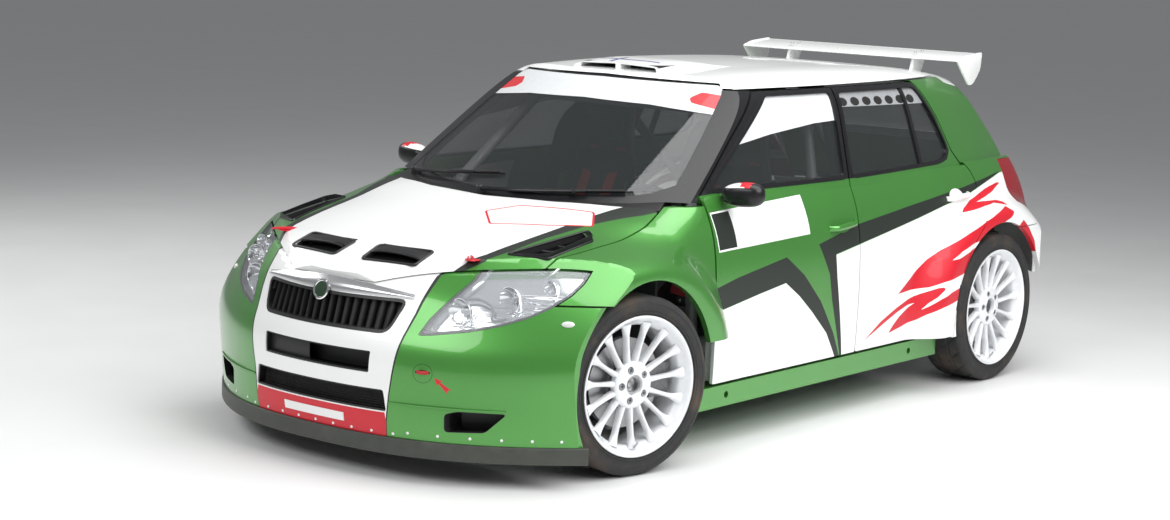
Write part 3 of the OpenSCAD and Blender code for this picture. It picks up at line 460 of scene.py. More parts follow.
def pipe(name, path, r, n=12, smooth_path=False):
    """Closed tube along a path of points, in millimetres."""
    p = [np.array(q, float) for q in path]
    if smooth_path:
        out = [p[0]]
        for i in range(1, len(p) - 1):
            a, b, c = p[i - 1], p[i], p[i + 1]
            la, lc = np.linalg.norm(a - b), np.linalg.norm(c - b)
            s, e = b + (a - b) / la * min(smooth_path, la * .48), b + (c - b) / lc * min(smooth_path, lc * .48)
            out += [(1 - u)**2 * s + 2 * u * (1 - u) * b + u * u * e for u in np.linspace(0, 1, 7)]
        p = out + [p[-1]]
    v, f = [], []
    up = None
    for i, q in enumerate(p):
        d = (p[min(i + 1, len(p) - 1)] - p[max(i - 1, 0)])
        d = d / np.linalg.norm(d)
        if up is None:
            up = np.array([0, 0, 1.0]) if abs(d[2]) < 0.9 else np.array([1.0, 0, 0])
        s = np.cross(d, up)
        s /= np.linalg.norm(s)
        up = np.cross(s, d)
        rr = r[i] if hasattr(r, "__len__") else r
        for k in range(n):
            t = 2 * math.pi * k / n
            v.append(q + rr * (math.cos(t) * s + math.sin(t) * up))
    for i in range(len(p) - 1):
        for k in range(n):
            l = (k + 1) % n
            f.append((i * n + k, i * n + l, (i + 1) * n + l, (i + 1) * n + k))
    f += [tuple(range(n - 1, -1, -1)), tuple(range((len(p) - 1) * n, len(p) * n))]
    return outward(add_mesh(name, v, f))


def soft_box(name, centre, size, bevel=4.0, rot=None, segments=3):
    """Block with rounded edges."""
    bm = bmesh.new()
    bmesh.ops.create_cube(bm, size=1)
    bmesh.ops.scale(bm, vec=Vector(size) * K, verts=bm.verts)
    bmesh.ops.bevel(bm, geom=bm.edges[:], offset=bevel * K, segments=segments, profile=0.6, affect="EDGES",
                    clamp_overlap=True)
    if rot is not None:
        bmesh.ops.rotate(bm, cent=(0, 0, 0), matrix=rot.to_3x3(), verts=bm.verts)
    bmesh.ops.translate(bm, vec=Vector(centre) * K, verts=bm.verts)
    me = bpy.data.meshes.new(name)
    bm.to_mesh(me)
    bm.free()
    ob = bpy.data.objects.new(name, me)
    SCENE.collection.objects.link(ob)
    return ob


def moved(ob, m):
    ob.data.transform(m)
    ob.data.update()
    return ob


# ---------------------------------------------------------------- materials
def material(name, base, rough=0.5, metal=0.0, second=None, scale=40.0, mix_amount=0.5, bump=0.0,
             bump_scale=None, rough_var=0.06, coat=0.0, coat_rough=0.03, spec=0.5, alpha=1.0, detail=4.0,
             stretch=(1, 1, 1), dirt=None, dirt_scale=3.0, dirt_low=0.55, dirt_high=0.75, sheen=0.0,
             kind="noise", transmission=0.0):
    m = bpy.data.materials.new(name)
    m.use_nodes = True
    nt = m.node_tree
    N, L = nt.nodes, nt.links
    b = N["Principled BSDF"]
    b.inputs["Metallic"].default_value = metal
    b.inputs["Specular IOR Level"].default_value = spec
    b.inputs["Coat Weight"].default_value = coat
    b.inputs["Coat Roughness"].default_value = coat_rough
    b.inputs["Sheen Weight"].default_value = sheen
    b.inputs["Alpha"].default_value = alpha
    b.inputs["Transmission Weight"].default_value = transmission
    tc = N.new("ShaderNodeTexCoord")
    mp = N.new("ShaderNodeMapping")
    mp.inputs["Scale"].default_value = stretch
    L.new(tc.outputs["Object"], mp.inputs["Vector"])
    if kind == "voronoi":
        tx = N.new("ShaderNodeTexVoronoi")
        tx.inputs["Scale"].default_value = scale
        out = tx.outputs["Distance"]
    elif kind == "wave":
        tx = N.new("ShaderNodeTexWave")
        tx.inputs["Scale"].default_value = scale
        tx.inputs["Distortion"].default_value = 1.5
        out = tx.outputs["Fac"]
    else:
        tx = N.new("ShaderNodeTexNoise")
        tx.inputs["Scale"].default_value = scale
        tx.inputs["Detail"].default_value = detail
        out = tx.outputs["Fac"]
    L.new(mp.outputs["Vector"], tx.inputs["Vector"])
    second = second or tuple(min(1, c * 1.12 + 0.004) for c in base)
    cr = N.new("ShaderNodeValToRGB")
    cr.color_ramp.elements[0].position = 0.5 - mix_amount / 2
    cr.color_ramp.elements[1].position = 0.5 + mix_amount / 2
    cr.color_ramp.elements[0].color = (*base, 1)
    cr.color_ramp.elements[1].color = (*second, 1)
    L.new(out, cr.inputs["Fac"])
    colour = cr.outputs["Color"]
    if dirt:
        t2 = N.new("ShaderNodeTexNoise")
        t2.inputs["Scale"].default_value = dirt_scale
        t2.inputs["Detail"].default_value = 8
        L.new(tc.outputs["Object"], t2.inputs["Vector"])
        r2 = N.new("ShaderNodeMapRange")
        r2.inputs["From Min"].default_value = dirt_low
        r2.inputs["From Max"].default_value = dirt_high
        L.new(t2.outputs["Fac"], r2.inputs["Value"])
        mx = N.new("ShaderNodeMix")
        mx.data_type = "RGBA"
        L.new(r2.outputs["Result"], mx.inputs["Factor"])
        L.new(colour, mx.inputs[6])
        mx.inputs[7].default_value = (*dirt, 1)
        colour = mx.outputs[2]
    L.new(colour, b.inputs["Base Color"])
    mr = N.new("ShaderNodeMapRange")
    mr.inputs["To Min"].default_value = max(0.0, rough - rough_var)
    mr.inputs["To Max"].default_value = min(1.0, rough + rough_var)
    L.new(out, mr.inputs["Value"])
    L.new(mr.outputs["Result"], b.inputs["Roughness"])
    if bump:
        t3 = N.new("ShaderNodeTexNoise")
        t3.inputs["Scale"].default_value = bump_scale or scale
        t3.inputs["Detail"].default_value = 3
        L.new(mp.outputs["Vector"], t3.inputs["Vector"])
        bp = N.new("ShaderNodeBump")
        bp.inputs["Strength"].default_value = bump
        bp.inputs["Distance"].default_value = 0.001
        L.new(t3.outputs["Fac"], bp.inputs["Height"])
        L.new(bp.outputs["Normal"], b.inputs["Normal"])
    return m


def paint_material(name, base, bright, metal=0.55, rough=0.34, coat=0.8):
    """Lacquered car paint: metallic flakes under a clear coat, with a faint drift of shade."""
    m = material(name, base, rough=rough, metal=metal, second=bright, scale=900.0, mix_amount=0.5, detail=1.0,
                 rough_var=0.05, coat=coat, coat_rough=0.03)
    nt = m.node_tree
    N, L = nt.nodes, nt.links
    b = N["Principled BSDF"]
    ramp_node = b.inputs["Base Color"].links[0].from_node
    t = N.new("ShaderNodeTexNoise")
    t.inputs["Scale"].default_value = 1.7
    t.inputs["Detail"].default_value = 2
    tc = [n for n in N if n.type == "TEX_COORD"][0]
    L.new(tc.outputs["Object"], t.inputs["Vector"])
    hs = N.new("ShaderNodeHueSaturation")
    mr = N.new("ShaderNodeMapRange")
    mr.inputs["To Min"].default_value = 0.94
    mr.inputs["To Max"].default_value = 1.06
    L.new(t.outputs["Fac"], mr.inputs["Value"])
    L.new(mr.outputs["Result"], hs.inputs["Value"])
    L.new(ramp_node.outputs["Color"], hs.inputs["Color"])
    L.new(hs.outputs["Color"], b.inputs["Base Color"])
    return m


GREEN = paint_material("paint_green", (0.060, 0.270, 0.040), (0.090, 0.350, 0.062))
WHITE = paint_material("paint_white", (0.86, 0.87, 0.86), (0.90, 0.91, 0.90), metal=0.0, rough=0.4)
DARK = paint_material("stripe_charcoal", (0.009, 0.014, 0.010), (0.016, 0.022, 0.017), metal=0.0, rough=0.5,
                      coat=0.12)
DGREEN = paint_material("stripe_dark_green", (0.008, 0.040, 0.014), (0.014, 0.055, 0.020), metal=0.3,
                        rough=0.42)
RED = paint_material("stripe_red", (0.58, 0.003, 0.016), (0.66, 0.010, 0.026), metal=0.0, rough=0.45, coat=0.25)
BLUE = paint_material("stripe_blue", (0.02, 0.045, 0.22), (0.03, 0.06, 0.27), metal=0.0, rough=0.4)
SILVER = paint_material("trim_silver", (0.55, 0.56, 0.57), (0.66, 0.67, 0.68), metal=0.8, rough=0.25)
BLACK = material("plastic_black", (0.012, 0.012, 0.013), rough=0.42, scale=300, second=(0.02, 0.02, 0.021),
                 bump=0.25, bump_scale=700)
GLOSS = material("frame_black", (0.008, 0.008, 0.009), rough=0.3, scale=60, second=(0.013, 0.013, 0.015),
                 coat=0.1, coat_rough=0.1, spec=0.35)
SPLIT = material("splitter_board", (0.045, 0.048, 0.042), rough=0.5, scale=25, second=(0.062, 0.066, 0.056),
                 bump=0.3, bump_scale=260,
                 dirt=(0.10, 0.098, 0.085), dirt_scale=6, dirt_low=0.58, dirt_high=0.85)
MESH = material("mesh_black", (0.008, 0.008, 0.008), rough=0.55, scale=200, second=(0.02, 0.02, 0.02), bump=0.2)
CHROME = material("reflector_chrome", (0.86, 0.87, 0.89), rough=0.08, metal=1.0, scale=30,
                  second=(0.93, 0.94, 0.95), rough_var=0.03)
STEEL = material("bare_steel", (0.42, 0.43, 0.44), rough=0.32, metal=1.0, scale=90, second=(0.52, 0.53, 0.54),
                 bump=0.15,
                 dirt=(0.2, 0.17, 0.14), dirt_scale=18, dirt_low=0.6, dirt_high=0.8)
DISC = material("brake_disc", (0.32, 0.32, 0.33), rough=0.36, metal=1.0, scale=14, second=(0.45, 0.45, 0.46),
                stretch=(1, 30, 30), bump=0.2, bump_scale=8)
RIM = material("rim_white", (0.78, 0.80, 0.82), rough=0.3, scale=50, second=(0.85, 0.86, 0.88), coat=0.7,
               coat_rough=0.08,
               dirt=(0.55, 0.54, 0.52), dirt_scale=9, dirt_low=0.62, dirt_high=0.9)
RUBBER = material("tyre_rubber", (0.017, 0.017, 0.018), rough=0.72, scale=60, second=(0.03, 0.03, 0.03),
                  bump=0.35, bump_scale=420,
                  dirt=(0.085, 0.06, 0.042), dirt_scale=7, dirt_low=0.5, dirt_high=0.78)
CAST = material("cast_alloy", (0.17, 0.175, 0.18), rough=0.5, metal=0.8, scale=120, second=(0.24, 0.245, 0.25),
                bump=0.5, bump_scale=300)
CALIPER = material("caliper_red", (0.30, 0.02, 0.02), rough=0.38, scale=80, second=(0.36, 0.035, 0.03),
                   coat=0.4, bump=0.2)
CAGE = material("cage_paint", (0.36, 0.37, 0.38), rough=0.38, scale=140, second=(0.42, 0.43, 0.44), bump=0.25,
                coat=0.3)
FLOORPAN = material("floor_paint", (0.06, 0.062, 0.066), rough=0.55, scale=70, second=(0.085, 0.087, 0.09),
                    bump=0.4, dirt=(0.11, 0.10, 0.085), dirt_scale=4)
SUEDE = material("dash_suede", (0.013, 0.013, 0.014), rough=0.9, scale=500, second=(0.022, 0.022, 0.023),
                 bump=0.5, sheen=0.25)
FABRIC = material("seat_fabric", (0.012, 0.016, 0.013), rough=0.88, scale=600, second=(0.026, 0.034, 0.028),
                  bump=0.7, bump_scale=900, sheen=0.2, kind="voronoi", stretch=(1, 1, 2.0))
FABRIC_G = material("seat_fabric_green", (0.02, 0.12, 0.018), rough=0.86, scale=600, second=(0.035, 0.17, 0.03),
                    bump=0.7, bump_scale=900,
                    sheen=0.2, kind="voronoi", stretch=(1, 1, 2.0))
SHELL = material("seat_shell_composite", (0.014, 0.014, 0.015), rough=0.3, scale=260,
                 second=(0.04, 0.04, 0.042), kind="wave", coat=0.6, bump=0.1)
WEB = material("belt_webbing", (0.42, 0.018, 0.02), rough=0.75, scale=700, second=(0.5, 0.03, 0.032), bump=0.6,
               bump_scale=1200, sheen=0.1)
GLASS = material("window_glass", (0.028, 0.034, 0.034), rough=0.03, scale=3, second=(0.034, 0.040, 0.040),
                 alpha=0.42, spec=0.7, coat=1.0, coat_rough=0.01, rough_var=0.01)
SCREEN = material("screen_glass", (0.03, 0.037, 0.038), rough=0.03, scale=3, second=(0.036, 0.043, 0.044),
                  alpha=0.36, spec=0.7, coat=1.0, coat_rough=0.01, rough_var=0.01)
LENS = material("lamp_lens", (0.80, 0.84, 0.88), rough=0.03, scale=8, second=(0.86, 0.9, 0.94), alpha=0.17,
                spec=0.6, coat=1.0, coat_rough=0.01, rough_var=0.01)
TAILRED = material("tail_lens_red", (0.22, 0.003, 0.008), rough=0.2, scale=220, second=(0.30, 0.008, 0.014),
                   coat=0.5, kind="wave", coat_rough=0.02)
TAILWHITE = material("tail_lens_clear", (0.55, 0.52, 0.52), rough=0.14, scale=220, second=(0.68, 0.65, 0.65),
                     coat=1.0, kind="wave")
GREYBAND = material("band_grey", (0.30, 0.31, 0.32), rough=0.4, scale=60, second=(0.34, 0.35, 0.36), coat=0.4)
BAND = material("band_white", (0.66, 0.68, 0.69), rough=0.35, scale=60, second=(0.72, 0.74, 0.75), coat=0.4)
BANDRED = material("band_red", (0.60, 0.014, 0.022), rough=0.35, scale=60, second=(0.68, 0.03, 0.036), coat=0.4)
AMBER = material("marker_clear", (0.60, 0.60, 0.58), rough=0.15, scale=160, second=(0.72, 0.72, 0.7), coat=1.0,
                 kind="wave")
FLOOR = material("studio_floor", (0.80, 0.80, 0.80), rough=0.55, scale=2.0, second=(0.83, 0.83, 0.83),
                 bump=0.05, bump_scale=60)

# ---------------------------------------------------------------- outlines, in millimetres
hinge_split = [[-740, 238], [-740, 912]]
centre_split = [[228, 238], [236, 500], [232, 760], [241, 915], [295, 1284]]
front_door_line = hinge_split + [[-737, 922], [-480, 1112], [-222, 1284]] + centre_split[::-1]
rear_door_line = centre_split + [[975, 1281], [1072, 1130], [1128, 985], [1208, 900], [1222, 850],
                                 [1200, 790], [1090, 700], [985, 610], [900, 480], [868, 340], [858, 238]]
front_window = [[-640, 945], [-600, 985], [-160, 1262], [262, 1262], [214, 942]]
rear_window = [[274, 942], [322, 1260], [955, 1258], [1042, 1120], [1090, 1000], [1060, 968], [980, 955]]
bonnet_side = [[440, -1852], [530, -1800], [610, -1700], [666, -1560], [700, -1400], [714, -1200], [706, -1040],
               [672, -912]]
bonnet_half = [[200, -1886], [340, -1866]] + bonnet_side + [[500, -1000], [300, -1072]]
bonnet_plan = [[0, -1896]] + bonnet_half + [[0, -1112]] + [[-x, y] for x, y in bonnet_half[::-1]]
lamp_line = [[404, 506], [440, 508], [560, 528], [640, 550], [705, 578], [752, 612], [782, 652], [792, 690],
             [780, 820], [500, 820], [498, 690], [462, 625], [424, 560]]
grille_line = [[-340, 618], [-300, 500], [300, 500], [340, 618]]
slot_line = [[-252, 366], [252, 366], [256, 440], [-256, 440]]
intake_line = [[-318, 238], [318, 238], [306, 312], [-306, 312]]
duct_line = [[520, 190], [640, 196], [700, 262], [560, 262], [520, 250]]
tail_lamp_line = [[560, 700], [820, 690], [820, 935], [610, 925], [575, 820]]
tailgate_half = [[556, 712], [566, 820], [592, 940], [560, 1040], [525, 1200], [500, 1420]]
tailgate_line = tailgate_half + [[-x, z] for x, z in tailgate_half[::-1]]
rear_glass_line = [[-470, 1000], [470, 1000], [462, 1080], [428, 1236], [-428, 1236], [-462, 1080]]
screen_half = [[640, 884], [622, 980], [566, 1150], [514, 1280], [480, 1302]]
screen_line = screen_half + [[0, 1314]] + [[-x, z] for x, z in screen_half[::-1]] + [[0, 880]]


def mirror_line(p):
    return [(-q[0], q[1]) for q in p][::-1]


# ---------------------------------------------------------------- body surfaces as solids
def nose_rows(t, y0=-1990, y1=-746):
    n = max(4, int((y1 - y0) / 17))
    return [both_sides(section_offset(nose_profile(y), t), y) for y in np.linspace(y0, y1, n)]


def nose_shell(t=SKIN, y0=-1990, y1=-746):
    return between("panel", np.array(nose_rows(0, y0, y1)), np.array(nose_rows(t, y0, y1)))


def inside_front(t, y0=-2010, y1=-700):
    out = []
    for y in np.linspace(y0, y1, 76):
        p = section_offset(nose_profile(y), t)
        out.append(np.stack([p[:, 0], np.full(len(p), y), p[:, 1]], 1))
    out = np.array(out)
    return between("cutter", out, out * (-1, 1, 1))


def behind_nose(t, back=-300):
    xs, zs = np.linspace(-980, 980, 111), np.linspace(100, 940, 57)
    g = np.array([[(x, 0, z) for z in zs] for x in xs], float)
    a = g.copy()
    a[:, :, 1] = nose_y(g[:, :, 0], g[:, :, 2]) + t
    b = g.copy()
    b[:, :, 1] = back
    return between("cutter", a, b)


def nose_panel(t, z0, z1, shift=0.0, x1=904):
    xs, zs = np.linspace(-x1, x1, 121), np.linspace(z0, z1, max(4, int((z1 - z0) / 14)))
    g = np.array([[(x, 0, z) for z in zs] for x in xs], float)
    a = g.copy()
    a[:, :, 1] = nose_y(g[:, :, 0], g[:, :, 2]) + shift
    b = a + (0, t, 0)
    return between("panel", a, b)


def tail_panel(t, z0, z1, x0, x1, out=0.0):
    xs, zs = np.linspace(x0, x1, max(8, int((x1 - x0) / 16))), np.linspace(z0, z1, max(6, int((z1 - z0) / 16)))
    g = np.array([[(x, 0, z) for x in xs] for z in zs], float)
    a = g.copy()
    a[:, :, 1] = tail_y(g[:, :, 0], g[:, :, 2]) + out
    return between("panel", a, a - (0, t, 0))


def ahead_of_tail(t, z0=60, z1=1420, front=-2100):
    xs, zs = np.linspace(-960, 960, 97), np.linspace(z0, z1, 86)
    g = np.array([[(x, 0, z) for x in xs] for z in zs], float)
    a, b = g.copy(), g.copy()
    a[:, :, 1] = tail_y(g[:, :, 0], g[:, :, 2]) - t
    b[:, :, 1] = front
    return between("cutter", a, b)


def behind_screen(t):
    xs, zs = np.linspace(-820, 820, 61), np.linspace(800, 1420, 6)
    g = np.array([[(x, 0, z) for z in zs] for x in xs], float)
    a, b = g.copy(), g.copy()
    a[:, :, 1] = screen_y(g[:, :, 0], g[:, :, 2]) + t
    b[:, :, 1] = 1980
    return between("cutter", a, b)


def flank(y0, y1, z0, z1, t0, t1, step=16):
    ys = np.linspace(y0, y1, max(4, int((y1 - y0) / step)))
    zs = np.linspace(z0, z1, max(4, int((z1 - z0) / step)))
    Y, Z = np.meshgrid(ys, zs, indexing="ij")
    X = side_x(Y, Z)
    return between("panel", np.stack([X - t0, Y, Z], 2), np.stack([X - t1, Y, Z], 2))


def cabin_rows(t, y0, y1, step=22):
    n = max(4, int((y1 - y0) / step))
    return [both_sides(section_offset(cabin_profile(y), t), y) for y in np.linspace(y0, y1, n)]


def cabin_shell(t0, t1, y0=-1080, y1=1760, step=22):
    return between("panel", np.array(cabin_rows(t0, y0, y1, step)), np.array(cabin_rows(t1, y0, y1, step)))


def cabin_left(t0, t1, y0, y1, step=18):
    def rows(t):
        out = []
        for y in np.linspace(y0, y1, max(4, int((y1 - y0) / step))):
            p = section_offset(cabin_profile(y), t)
            out.append(np.stack([p[:, 0], np.full(len(p), y), p[:, 1]], 1))
        return np.array(out)
    return between("panel", rows(t0), rows(t1))


def cabin_solid(t, y0=-1080, y1=1760):
    out = []
    for y in np.linspace(y0, y1, 130):
        p = section_offset(cabin_profile(y), t)
        out.append(np.stack([p[:, 0], np.full(len(p), y), p[:, 1]], 1))
    out = np.array(out)
    out[:, :, 0] = np.maximum(out[:, :, 0], 0.01)
    return between("cutter", out, out * (-1, 1, 1))


def bonnet_z(x, y):
    """Height of the bonnet and wing crown over a point."""
    p = nose_profile(y)
    return float(np.interp(-abs(x), -p[:, 0][np.argsort(-p[:, 0])], p[:, 1][np.argsort(-p[:, 0])]))


# ---------------------------------------------------------------- bonnet
def both_cut(ob, line, axis, lo, hi, grow=0.0):
    cut(ob, prism(line, axis, lo, hi, grow))
    cut(ob, prism(mirror_line(line), axis, lo, hi, grow))
    return ob


bonnet_line2 = rounded(bonnet_plan, 26)
duct_hole = rounded([(72, -1812), (66, -1728), (286, -1704), (292, -1790)], 14)
vent_hole = rounded([(536, -1566), (648, -1512), (650, -1290), (596, -1256)], 12)
stripe_in = [(384, -1850), (388, -1822), (412, -1764), (444, -1700), (468, -1620), (491, -1453), (512, -1232),
             (546, -1005), (556, -960)]
stripe_out = [(690, -880), (669, -934), (566, -1199), (536, -1377), (521, -1550), (495, -1659), (448, -1730),
              (408, -1790), (396, -1850)]
charcoal = stripe_in + stripe_out

b = nose_shell(SKIN, -1990, -800)
keep(b, behind_nose(2), prism(bonnet_line2, "z", 400, 1000, -GAP))
both_cut(b, duct_hole, "z", 600, 900)
both_cut(b, vent_hole, "z", 600, 950)
base_material(b, GREEN)
full = [(-x, y) for x, y in (stripe_in + [(556, -700)])][::-1]
paint(b, [(384, -2050)] + stripe_in + [(556, -700)] + full + [(-384, -2050)], "z", WHITE, 500, 1000)
paint(b, charcoal, "z", DARK, 500, 1000)
plaque = rounded([(150, -1275), (222, -1165), (512, -1086), (590, -1188), (456, -1294), (275, -1392)], 16)
paint(b, plaque, "z", RED, 500, 1000)
paint(b, grown(plaque, -8), "z", WHITE, 500, 1000)
for hole in (vent_hole, duct_hole):
    for line in (grown(hole, 3), mirror_line(grown(hole, 3))):
        paint(b, line, "z", BLACK, 500, 1000)
paint(b, mirror_line(charcoal), "z", DARK, 500, 1000)
b.name = "bonnet_panel"
done(b, "bonnet", ["bonnet"])


def duct(name, s):
    """Open scoop over a bonnet hole: a shallow hood, open at the front, with a dark floor."""
    ys = np.linspace(-1808, -1706, 12)
    xs = np.linspace(64, 296, 19)
    top, low = [], []
    for y in ys:
        k = (y + 1808) / 102
        rt, rl = [], []
        for x in xs:
            e = abs((x - 180) / 116)
            z = bonnet_z(x, y)
            h = 15 * math.sin(math.pi * min(1, max(0, k)) ** 0.8) * (1 - e**4)
            rt.append((x * s, y, z + 1.2 + h * (0.4 + 0.6 * k)))
            rl.append((x * s, y, z - 2.2 + h * (0.4 + 0.6 * k)))
        top.append(rt)
        low.append(rl)
    hood = between(name, np.array(top)[5:], np.array(low)[5:])
    rim = []
    edge = rounded([(66, -1820), (58, -1722), (296, -1698), (302, -1800)], 16, 5)
    ring = pipe("rim", [(x * s, y, bonnet_z(x, y) + 1.5) for x, y in edge + edge[:1]], 5.2, 10)
    floor = between("floor", np.array([[(x * s, y, bonnet_z(x, y) - 14 - 16 * (y + 1816) / 116)
                                        for x in np.linspace(64, 296, 12)]
                                       for y in np.linspace(-1816, -1700, 8)]),
                    np.array([[(x * s, y, bonnet_z(x, y) - 17 - 16 * (y + 1816) / 116)
                               for x in np.linspace(64, 296, 12)]
                              for y in np.linspace(-1816, -1700, 8)]))
    lip = pipe("lip", [(x * s, -1764 + (x - 180) * 0.06, bonnet_z(x, -1764) + 8 - 8 * abs((x - 180) / 108)**3)
                       for x in np.linspace(72, 288, 17)], 4.5, 10)
    for o in (ring, lip, floor, hood):
        base_material(o, BLACK)
    return done(join(name, [hood, ring, floor, lip]), "bonnet")


duct("bonnet_duct_left", 1)
duct("bonnet_duct_right", -1)


def vent(name, s):
    """Large bonnet vent: black surround, inner tray and a raised lip on its outer, rear side."""
    ring_line = rounded([(528, -1580), (662, -1518), (662, -1282), (596, -1240)], 14, 4)
    parts = [pipe("r", [(x * s, y, bonnet_z(x, y) + 1.0) for x, y in ring_line + ring_line[:1]], 5.5, 10)]
    tray = []
    for i, dz in enumerate((-6, -34)):
        tray.append([(x * s, y, bonnet_z(x, y) + dz)
                     for x, y in rounded([(532, -1572), (655, -1515), (655, -1285), (594, -1248)], 14, 4)])
    n = len(tray[0])
    v = tray[0] + tray[1]
    f = [(i, (i + 1) % n, n + (i + 1) % n, n + i) for i in range(n)] + [tuple(range(n, 2 * n))]
    t = add_mesh("t", v, f)
    so = t.modifiers.new("s", "SOLIDIFY")
    so.thickness, so.offset = 0.0025, 0
    bpy.context.view_layer.update()
    t.data = bpy.data.meshes.new_from_object(t.evaluated_get(bpy.context.evaluated_depsgraph_get()))
    t.modifiers.clear()
    parts.append(t)
    a = [(530, -1576), (600, -1546), (662, -1516), (663, -1400), (662, -1284), (630, -1262), (598, -1242)]
    heights = [2, 10, 17, 20, 24, 22, 6]
    outer = np.array([[(x * s, y, bonnet_z(x, y) + k * h) for k in (0, 0.5, 1)]
                      for (x, y), h in zip(a, heights)])
    inner = outer + np.array([[(-4 * s, 3, 0)] * 3] * len(a))
    parts.append(between("lip", outer, inner))
    for x0, y0, x1, y1 in ((560, -1520, 645, -1480), (575, -1450, 645, -1415), (588, -1380, 645, -1350)):
        parts.append(pipe("vane", [(x0 * s, y0, bonnet_z(x0, y0) - 16), (x1 * s, y1, bonnet_z(x1, y1) - 16)], 4,
                          8))
    for o in parts:
        base_material(o, GLOSS)
    return done(join(name, parts), "bonnet")


vent("bonnet_vent_left", 1)
vent("bonnet_vent_right", -1)

for s, side in ((1, "left"), (-1, "right")):
    x, y = 458 * s, -1680
    z = bonnet_z(x, y)
    parts = [lathe("disc", [(0, 0.5), (0, 26), (2.4, 27), (4, 24), (4, 0.5)], 36, (x, y, z - 0.5), "z"),
             pipe("pin", [(x - 30 * s, y + 26, z + 7), (x - 10 * s, y + 8, z + 9), (x + 14 * s, y - 12, z + 8),
                          (x + 34 * s, y - 30, z + 5)], 4.4, 8),
             pipe("loop", [(x + 34 * s, y - 30, z + 5), (x + 26 * s, y - 44, z + 6), (x + 8 * s, y - 30, z + 8),
                           (x - 14 * s, y - 8, z + 8), (x - 32 * s, y + 14, z + 6)], 3.4, 8, 8)]
    for o in parts:
        base_material(o, RED)
    done(join("bonnet_pin_" + side, parts), "bonnet")

# ---------------------------------------------------------------- front wings
w = nose_shell(SKIN, -1990, -746)
keep(w, behind_nose(2))
lip = nose_panel(SKIN + 6, 600, 800)
keep(lip, inside_front(2))
half_lip = mirrored(lip, "lip2")
keep(lip, block((520, -1800, 500), (1000, -1300, 900)))
keep(half_lip, block((-1000, -1800, 500), (-520, -1300, 900)))
weld(w, lip, half_lip)
wing_cut = [(0, -2050), (200, -2050), (410, -1862)] + bonnet_side + [(664, -880), (664, -700), (0, -700)]
wc = rounded(wing_cut[:-1], 16)
wc_all = wc + mirror_line(wc)
cut(w, prism(wc_all, "z", 0, 1100, GAP))


def lamp_space(depth, grow, s=1):
    a = behind_nose(-2)
    cut(a, behind_nose(depth))
    line = rounded(lamp_line, 10)
    keep(a, prism(line if s > 0 else mirror_line(line), "y", -2100, -1300, grow))
    return a


for s in (1, -1):
    sp = lamp_space(64, GAP, s)
    keep(sp, inside_front(SKIN - 1))
    cut(w, sp)
cut(w, block((-1000, -2100, 0), (1000, -1300, 624)))
for s in (1, -1):
    cut(w, block((min(600 * s, 760 * s), -905, 894), (max(600 * s, 760 * s), -700, 1000)))
    cut(w, barrel(450 if s > 0 else -1050, 1050 if s > 0 else -450, FRONT_Y, WHEEL_Z, ARCH_R))
    cut(w, block((min(500 * s, 1000 * s), -940, 0), (max(500 * s, 1000 * s), -700, 430)))
    cut(w, block((min(500 * s, 1000 * s), -1100, 0), (max(500 * s, 1000 * s), -700, 238)))
cut(w, block((-660, -2100, 0), (660, -700, 600)))
base_material(w, GREEN)
w.name = "front_wing_pair"
done(w, "body", ["front_wings"])
for s, side in ((1, "left"), (-1, "right")):
    mx, mz = 818.0, 566.0
    slope = Vector((float(nose_y(mx + 8, mz) - nose_y(mx - 8, mz)) / 16 * s, -1,
                    float(nose_y(mx, mz + 8) - nose_y(mx, mz - 8)) / 16))
    m = lathe("turn_marker_" + side, [(-4, 0.5), (-4, 22), (2, 22), (6, 17), (8, 9), (8.6, 0.5)], 36, (0, 0, 0),
              "x")
    m.data.transform(Matrix.Diagonal((0.8, 1.0, 0.5, 1)))
    base_material(m, AMBER)
    turn = slope.to_track_quat("X", "Z").to_matrix().to_4x4()
    moved(m, Matrix.Translation(Vector((mx * s, float(nose_y(mx, mz)), mz)) * K) @ turn)
    done(m, "body")

# ---------------------------------------------------------------- front bumper
fb = nose_panel(SKIN + 6, 150, 800)
keep(fb, inside_front(SKIN + 2 * GAP))
lamp2 = rounded(lamp_line, 10)
for line in (lamp2, mirror_line(lamp2)):
    cut(fb, prism(line, "y", -2100, -1300))
grille2, slot2, intake2, duct2 = (rounded(q, r)
                                  for q, r in ((grille_line, 34), (slot_line, 7), (intake_line, 9),
                                  (duct_line, 12)))
for line, g in ((grille2, 0), (slot2, 0), (intake2, 0), (duct2, 0), (mirror_line(duct2), 0)):
    cut(fb, prism(line, "y", -2100, -1500, g))
for s in (1, -1):
    cut(fb, block((min(600 * s, 1000 * s), -1790, 618), (max(600 * s, 1000 * s), -1300, 900)))
    cut(fb, barrel(450 if s > 0 else -1050, 1050 if s > 0 else -450, FRONT_Y, WHEEL_Z, ARCH_R - 8))
base_material(fb, GREEN)
edge_in = [(310, 120), (316, 210), (326, 300), (344, 400), (357, 500), (373, 573), (381, 640), (386, 700),
           (386, 820)]
edge_out = [(402, 820), (398, 700), (391, 640), (381, 573), (364, 500), (350, 400), (331, 300), (321, 210),
            (315, 120)]
paint(fb, edge_in + [(0, 820)] + mirror_line(edge_in), "y", WHITE, -2100, -1500)
paint(fb, edge_in + edge_out, "y", DARK, -2100, -1500)
paint(fb, mirror_line(edge_in + edge_out), "y", DARK, -2100, -1500)
for line in (grown(duct2, 1.5), mirror_line(grown(duct2, 1.5))):
    paint(fb, line, "y", BLACK, -2100, -1500)
valance = [(-311, 120), (-318, 200), (-312, 234), (312, 234), (318, 200), (311, 120)]
paint(fb, valance, "y", RED, -2100, -1500)
tow = [(447 + 33 * math.cos(t), 384 + 33 * math.sin(t)) for t in np.linspace(0, 2 * np.pi, 40, endpoint=False)]
